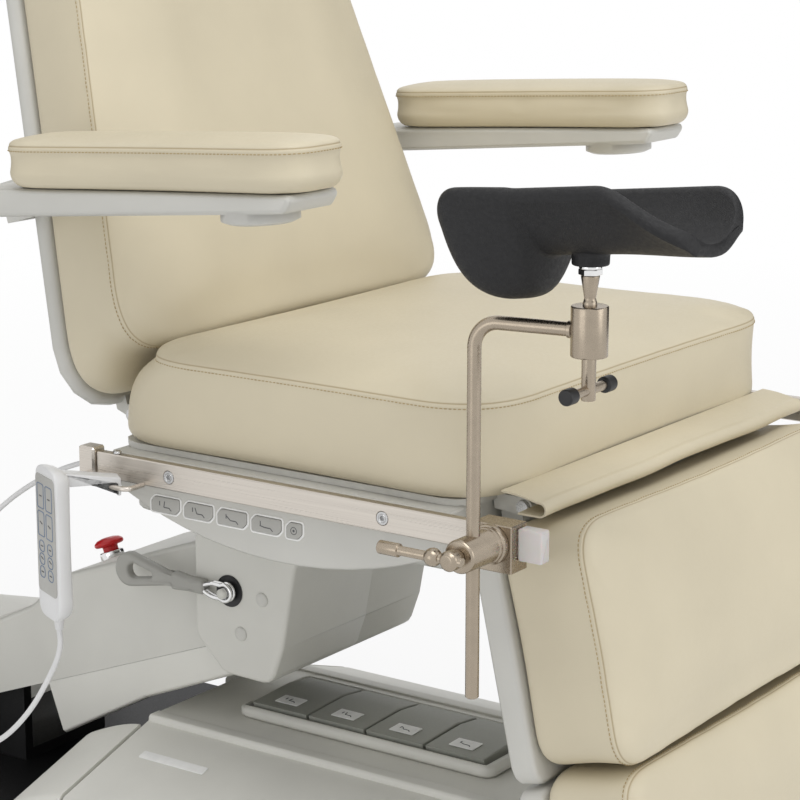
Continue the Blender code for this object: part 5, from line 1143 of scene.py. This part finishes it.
def make_handset():
    """A slim handset: rounded-box rings from its front to its back, a hanger tongue and a cord relief."""
    half = HANDSET_DEPTH / 2
    levels = np.array((-0.0100, -0.0097, -0.0088, -0.0070, -0.0030, 0.0030, 0.0065, 0.0085, 0.0097, 0.0100))
    insets = np.array((0.0017, 0.0008, 0.0002, 0.0, 0.0005, 0.0024, 0.0052, 0.0082, 0.0112, 0.0138))
    outline = resampled(rounded_plate((0, 0), (HANDSET_WIDTH, HANDSET_HEIGHT), 0.017), 96)
    offset = mitres(outline)
    flat = outline[None] - offset[None] * insets[:, None, None]
    bow = -0.0022 * (1 - (flat[..., 1] / (HANDSET_HEIGHT / 2)) ** 2)
    depth = levels[:, None] + np.where(levels[:, None] < 0, -0.35, 0.5) * bow
    body = lofted(np.stack((depth, flat[..., 0], flat[..., 1]), axis=-1))
    under = HOOK_Z + HOOK_RADIUS + GAP - HANDSET_CENTER[2]
    reach = half + 0.052
    hanger = np.array((
        (half - 0.004, under), (reach - 0.004, under), (reach - 0.004, under - 0.012),
        (reach, under - 0.012), (reach, under + 0.0056), (half - 0.004, under + 0.014)))
    points, quads, lids = extruded(eased(hanger, 0.0015, 3), "Z", -0.009, 0.009, 0.0012)
    tongue = (points[:, [0, 2, 1]], quads, lids)
    relief = lathe((
        (-0.0870, 0.0026), (-0.0870, 0.0038), (-0.0800, 0.0046), (-0.0735, 0.0056), (-0.070, 0.003)), 0.0008)
    boot = turned((0, 0, 0), (0, 0, 1), relief, 24)
    parts = [placed(body, FACE_FRAME), placed(tongue, HANDSET_FRAME), placed(boot, HANDSET_FRAME)]
    add_parts("handset_shell", parts, WHITE, "seat", ("handset",), crease=45)
    face = KEYPAD_FACE
    panel = rounded_plate((0, 0.008), (0.043, 0.116), 0.006)
    panel = extruded(panel, "X", face - 0.0001, face + 0.0012, 0.0003, 2)
    add_parts("handset_panel", [placed(panel, FACE_FRAME)], KEY_GREY, "seat")
    rows = [(0.045, 0.024), (0.0175, 0.024)] + [(-0.0045 - 0.0128 * k, 0.0108) for k in range(3)]
    frames, plates = [], []
    for number, (height, size) in enumerate(rows):
        for column in (-1, 1):
            width, corner = (0.0150, 0.0026) if number < 2 else (0.0120, 0.0052)
            outline = rounded_plate((column * KEYPAD_COLUMN, height), (width, size), corner)
            loop = np.column_stack((np.full(len(outline), face - 0.0001), outline))
            frames.append(placed(swept(loop, 0.0005, 6, closed=True), FACE_FRAME))
            tick = np.array(((-0.0028, 0.0), (0.0028, 0.0018 * (number % 2))))
            tick = tick + (column * KEYPAD_COLUMN, height)
            plates.append(placed(stroke(tick, 0.0010, "X", face - 0.0004, face + 0.0004), FACE_FRAME))
    add_parts("handset_key_lines", frames, BLUE_INK, "seat", crease=0)
    add_parts("handset_key_marks", plates, ICON, "seat", crease=0)
    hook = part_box("handset_hook")
    outer = hook[0].x + HOOK_RADIUS
    rear = hook[1].y - HOOK_RADIUS
    wire = [(-0.3053, 0.072), (outer, 0.072), (outer, rear), (-0.3093, rear)]
    path = eased(wire, 0.009, 8, closed=False)
    wire = swept(np.column_stack((path, np.full(len(path), HOOK_Z))), HOOK_RADIUS, 16)
    add_parts("hook_wire", [wire], RAIL_STEEL, "seat", ("handset_hook",))


make_handset()


# Head: brake lever, fork, plugs

LEVER_Y, LEVER_Z, LEVER_SLOPE = 0.1155, 0.2965, math.radians(1.5)
HEAD_SIDE = -0.125


def lever_point(distance, rise=0.0):
    """A point (y, z) at a distance along the lever's centre line, and square to it by rise."""
    along = np.array((math.cos(LEVER_SLOPE), math.sin(LEVER_SLOPE)))
    return np.array((LEVER_Y, LEVER_Z)) + distance * along + rise * np.array((-along[1], along[0]))


def make_lever():
    """A flat lever with a finger loop: its section runs from the outer outline to the slot and back."""
    turn = math.degrees(LEVER_SLOPE)
    tail = circle_points(lever_point(0.129), 0.0187, turn - 92, turn + 92, 26)
    neck = np.array([lever_point(0.070, 0.0100), lever_point(0.048, 0.0076), lever_point(0.026, 0.0075),
                     lever_point(0.026, -0.0075), lever_point(0.048, -0.0076), lever_point(0.070, -0.0100)])
    outer = resampled(np.roll(np.concatenate((tail, eased(neck, 0.004, 3))), -13, axis=0), 120)
    slot = np.concatenate((circle_points(lever_point(0.1225), 0.0083, turn - 90, turn + 90, 20),
                           circle_points(lever_point(0.1000), 0.0033, turn + 90, turn + 270, 12)))
    inner = resampled(np.roll(slot, -10, axis=0), 120)
    face, back = -0.1383, HEAD_SIDE - GAP
    rows = []
    for level, inset in (
            (back - 0.0005, 0.0022), (back - 0.0024, 0.0), (face + 0.0034, 0.0), (face + 0.0010, 0.0012),
            (face, 0.0038)):
        rows.append(np.column_stack((np.full(120, level), outer - mitres(outer) * inset)))
    for level, inset in (
            (face + 0.0008, 0.0030), (face + 0.0016, 0.0010), (face + 0.0030, 0.0), (back - 0.0024, 0.0),
            (back - 0.0005, 0.0014)):
        rows.append(np.column_stack((np.full(120, level), inner + mitres(inner) * inset)))
    add_parts("lever_arm", [ring_loop(np.array(rows))], LEVER_GREY, "brake", ("brake_lever",), crease=50)
    middle = (face + back) / 2
    eye = np.concatenate([
        circle_points((LEVER_Y, LEVER_Z), 0.0088, turn + 55, turn + 305, 22),
        np.array([lever_point(0.016, -0.0074), lever_point(0.024, -0.0048), lever_point(0.031, -0.0016),
                  lever_point(0.031, 0.0016), lever_point(0.024, 0.0048), lever_point(0.016, 0.0074)])])
    path = resampled(eased(eye, 0.002, 2), 60)
    loops = [swept(np.column_stack((np.full(60, middle + shift), path)), 0.0021, 12, closed=True)
             for shift in (-0.0026, 0.0026)]
    pin = lathe(((0, 0.003), (0, 0.0055), (0.0135, 0.0055), (0.0145, 0.0045), (0.0145, 0.002)), 0.0008)
    pin = turned((HEAD_SIDE + 0.002, LEVER_Y, LEVER_Z), (-1, 0, 0), pin, 32)
    spine = np.stack([np.array((middle, *lever_point(d))) for d in (0.026, 0.034, 0.040)])
    bridge = swept(spine, 0.0036, 16)
    add_parts("lever_clevis", [*loops, bridge], CHROME, "brake", ("lever_fork",))
    add_parts("lever_pivot", [pin], CHROME, "head")
    recess = lathe((
        (0, 0.004), (0, 0.0168), (0.0006, 0.0172), (0.0010, 0.0166), (0.0006, 0.0155),
        (0.0006, 0.004)), 0.0003, 2)
    recess = turned((HEAD_SIDE - 0.0001, LEVER_Y, LEVER_Z), (-1, 0, 0), recess, 48)
    add_parts("lever_recess", [recess], BLACK, "head")
    plug = lathe((
        (-0.001, 0.002), (-0.001, 0.0078), (0.0010, 0.0076), (0.0020, 0.0060), (0.0026, 0.003),
        (0.0027, 0.0008)), 0.0008)
    spots = ((0.0730, 0.2944), (0.1013, 0.2524))
    plugs = [turned((HEAD_SIDE, y, z), (-1, 0, 0), plug, 36) for y, z in spots]
    add_parts("head_plugs", plugs, GREY, "head")


make_lever()


# Lift arm's emergency stop

ARM_FRAME = turn_x((0, 0.50, 0.115), -math.degrees(math.atan2(0.18, 0.48)))
STOP_PLACE = -0.153


def make_stop():
    """A mushroom cap on a stem, over a bright collar."""
    foot = 0.101 + 0.005 + 2 * GAP
    cap = lathe((
        (foot - 0.017, 0.004), (foot - 0.017, 0.0088), (foot, 0.0088), (foot + 0.0006, 0.0152),
        (foot + 0.0024, 0.0172), (foot + 0.0054, 0.0170), (foot + 0.0086, 0.0130),
        (foot + 0.0102, 0.0065), (foot + 0.0105, 0.001)), 0.0014, 4)
    cap = placed(turned((0, STOP_PLACE, 0), (0, 0, 1), cap, 56), ARM_FRAME)
    add_parts("stop_cap", [cap], RED, "stop", ("stop_button",))
    collar = lathe(((0.0880, 0.0104), (0.0880, 0.0142), (0.0990, 0.0142), (0.1008, 0.0136), (0.1011, 0.0120),
                    (0.1011, 0.0104)), 0.0010)
    ring = placed(turned((0, STOP_PLACE, 0), (0, 0, 1), collar, 56, True), ARM_FRAME)
    add_parts("stop_ring", [ring], CHROME, "lift_arm")


make_stop()


# Floor base: pedals and their labels, step bands, aprons, deck strip

PEDAL_NEAR_X, PEDAL_RIDGE_X = -0.052, 0.012
LABEL_X = -0.030


def make_base_trim():
    """Pedals with their labels, step bands, a deck strip, and aprons that drop by 30 t^1.4 mm."""
    for number in range(4):
        name = f"pedal_{number + 1}"
        low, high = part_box(name)
        dressed(name, PEDAL, 40)
        middle = (low.y + high.y) / 2
        top_near, top_ridge = low.z + 0.0100, high.z
        rise = (top_ridge - top_near) / (PEDAL_RIDGE_X - PEDAL_NEAR_X)
        plate = rounded_plate((LABEL_X, middle), (0.020, 0.030), 0.0015)
        points, quads, lids = extruded(plate, "Z", 0.0, 0.0008, 0.0002, 2)
        points[:, 2] += top_near + rise * (points[:, 0] - PEDAL_NEAR_X) + 0.0001
        add_parts(f"pedal_label_{number + 1}", [(points, quads, lids)], LABEL, name)
        marks = []
        for line in seat_icon(middle, LABEL_X, 25 * number, 0.012):
            points, quads, lids = stroke(line[:, ::-1], 0.0011, "Z", 0.0009, 0.0012)
            points[:, 2] += top_near + rise * (points[:, 0] - PEDAL_NEAR_X)
            marks.append((points, quads, lids))
        add_parts(f"pedal_icon_{number + 1}", marks, ICON, name)
    for side, word in ((-1, "right"), (1, "left")):
        band = np.array((
            (0.0990, 0.1285), (0.0985, 0.1322), (0.1135, 0.1322), (0.1160, 0.1295), (0.1165, 0.1235)))
        band = extruded(eased(band * (side, 1), 0.0012, 3), "Y", -0.214, 0.240, 0.002)
        add_parts(f"deck_band_{word}", [band], DECK_GREY, "base")
        run = np.linspace(0, 1, 16)
        drop = 0.030 * run ** 1.4 + 0.004 * smooth((run - 0.9) / 0.1)
        foot = np.array((
            (0.122, 0.0125), (0.122, 0.1230), (0.249, 0.0823), (0.2585, 0.0700), (0.2585, 0.0125)))
        foot = eased(foot * (side, 1), 0.004, 3)
        grid = np.empty((16, len(foot), 3))
        grid[..., 0] = foot[None, :, 0]
        grid[..., 1] = (0.2453 + 0.082 * run)[:, None]
        high = smooth((foot[:, 1] - 0.02) / 0.05)
        grid[..., 2] = foot[None, :, 1] - drop[:, None] * high[None]
        add_parts(f"base_apron_{word}", [lofted(grid)], DECK_GREY, "base")
    strip = rounded_plate((-0.165, 0.163), (0.011, 0.088), 0.002)
    points, quads, lids = extruded(strip, "Z", 0.0, 0.0009, 0.0003, 2)
    points[:, 2] += 0.130 - (np.abs(points[:, 0]) - 0.10) * 0.32 + 0.0001
    add_parts("deck_strip", [(points, quads, lids)], LABEL, "base")


make_base_trim()


# The remaining CAD solids, each with its finish

PLAIN_LOOKS = {
    "base_plate": DARK_METAL, "base_front_cover": DECK_GREY, "base_rear_cover": DECK_GREY,
    "lift_yoke": DARK_METAL, "pedal_console": DECK_GREY, "arm_beam": DARK_METAL,
    "arm_upper_cover": HEAD_GREY, "arm_lower_cover": DECK_GREY, "lift_motor": DARK_METAL,
    "levelling_link": STEEL, "head_pin": STEEL, "head_housing": HEAD_GREY,
    "head_far_cover": HEAD_GREY, "swivel_bearing": STEEL, "seat_tray": GREY, "seat_frame": GREY_METAL,
    "side_console": GREY, "back_hinge_shaft": STEEL, "leg_hinge_shaft": STEEL, "backrest_shell": GREY,
    "armrest_base_right": GREY, "armrest_base_left": GREY, "legrest_shell": GREY, "footrest_shell": GREY,
}
for node_name, look in PLAIN_LOOKS.items():
    dressed(node_name, look)


# Floor, background and light

FLOOR_HALF = 40
WORLD_LIGHT = 0.66


def seen_rays(tree):
    """A socket that is 1 for rays from the camera and for those that metal and clear plastic send on."""
    path = tree.nodes.new("ShaderNodeLightPath")
    total = path.outputs["Is Camera Ray"]
    for kind in ("Is Glossy Ray", "Is Transmission Ray"):
        either = tree.nodes.new("ShaderNodeMath")
        either.operation = "MAXIMUM"
        tree.links.new(total, either.inputs[0])
        tree.links.new(path.outputs[kind], either.inputs[1])
        total = either.outputs[0]
    return total


def make_stage():
    """A white floor that keeps the shadow, a white world for seen rays, and three soft lamps."""
    floor_mesh = bpy.data.meshes.new("floor")
    corners = FLOOR_HALF * np.array(((-1, -1, 0), (1, -1, 0), (1, 1, 0), (-1, 1, 0)), float)
    floor_mesh.from_pydata(corners.tolist(), [], [(0, 1, 2, 3)])
    floor = bpy.data.objects.new("floor", floor_mesh)
    scene.collection.objects.link(floor)
    look = bpy.data.materials.new("floor")
    look.use_nodes = True
    tree = look.node_tree
    shader = tree.nodes["Principled BSDF"]
    shader.inputs["Base Color"].default_value = (0.9, 0.9, 0.9, 1)
    shader.inputs["Roughness"].default_value = 0.9
    glow = tree.nodes.new("ShaderNodeEmission")
    glow.inputs["Color"].default_value = (1, 1, 1, 1)
    seen = seen_rays(tree)
    place = tree.nodes.new("ShaderNodeTexCoord")
    distance = tree.nodes.new("ShaderNodeVectorMath")
    distance.operation = "LENGTH"
    tree.links.new(place.outputs["Object"], distance.inputs[0])
    white_share = tree.nodes.new("ShaderNodeMapRange")
    tree.links.new(distance.outputs["Value"], white_share.inputs["Value"])
    for socket, number in (("From Min", 1.0), ("From Max", 4.0), ("To Min", 0.86), ("To Max", 1.0)):
        white_share.inputs[socket].default_value = number
    share = tree.nodes.new("ShaderNodeMath")
    share.operation = "MULTIPLY"
    tree.links.new(seen, share.inputs[0])
    tree.links.new(white_share.outputs["Result"], share.inputs[1])
    mix = tree.nodes.new("ShaderNodeMixShader")
    tree.links.new(share.outputs[0], mix.inputs["Fac"])
    tree.links.new(shader.outputs[0], mix.inputs[1])
    tree.links.new(glow.outputs[0], mix.inputs[2])
    tree.links.new(mix.outputs[0], tree.nodes["Material Output"].inputs["Surface"])
    floor_mesh.materials.append(look)

    world = bpy.data.worlds.new("studio")
    scene.world = world
    world.use_nodes = True
    tree = world.node_tree
    light = tree.nodes["Background"]
    light.inputs["Color"].default_value = (1, 1, 1, 1)
    light.inputs["Strength"].default_value = WORLD_LIGHT
    white = tree.nodes.new("ShaderNodeBackground")
    white.inputs["Color"].default_value = (1, 1, 1, 1)
    white.inputs["Strength"].default_value = 1.0
    mix = tree.nodes.new("ShaderNodeMixShader")
    tree.links.new(seen_rays(tree), mix.inputs["Fac"])
    tree.links.new(light.outputs[0], mix.inputs[1])
    tree.links.new(white.outputs[0], mix.inputs[2])
    tree.links.new(mix.outputs[0], tree.nodes["World Output"].inputs["Surface"])

    for name, place, target, size, power in (
        ("key", (-0.9, -1.1, 3.2), (0, -0.1, 0.5), 2.2, 34),
        ("front", (0.2, -3.0, 1.2), (0, -0.2, 0.5), 2.0, 13),
        ("left", (-3.0, 0.3, 0.6), (-0.1, 0.0, 0.3), 1.8, 7),
    ):
        lamp_data = bpy.data.lights.new(name, "AREA")
        lamp_data.shape = "DISK"
        lamp_data.size = size
        lamp_data.energy = power
        lamp = bpy.data.objects.new(name, lamp_data)
        lamp.location = place
        lamp.rotation_euler = (Vector(target) - Vector(place)).to_track_quat("-Z", "Y").to_euler()
        scene.collection.objects.link(lamp)


def make_flags():
    """Tall dark panels at both sides, seen only in reflections, so that round metal gets dark edges."""
    dark = plain_finish("dark_panel", "101010", 0.9)
    for name, degrees in (("flag_far", 350.0), ("flag_rear", 80.0)):
        angle = math.radians(degrees)
        middle = 3.0 * np.array((math.cos(angle), math.sin(angle), 0))
        side = 1.4 * np.array((-math.sin(angle), math.cos(angle), 0))
        high = np.array((0, 0, 2.6))
        panel = bpy.data.meshes.new(name)
        corners = (middle - side, middle + side, middle + side + high, middle - side + high)
        panel.from_pydata(corners, [], [(0, 1, 2, 3)])
        panel.materials.append(dark)
        flag = bpy.data.objects.new(name, panel)
        scene.collection.objects.link(flag)
        flag.visible_camera = flag.visible_diffuse = False
        flag.visible_shadow = flag.visible_transmission = False


make_stage()
make_flags()
scene.view_settings.view_transform = "Standard"

bpy.context.view_layer.update()
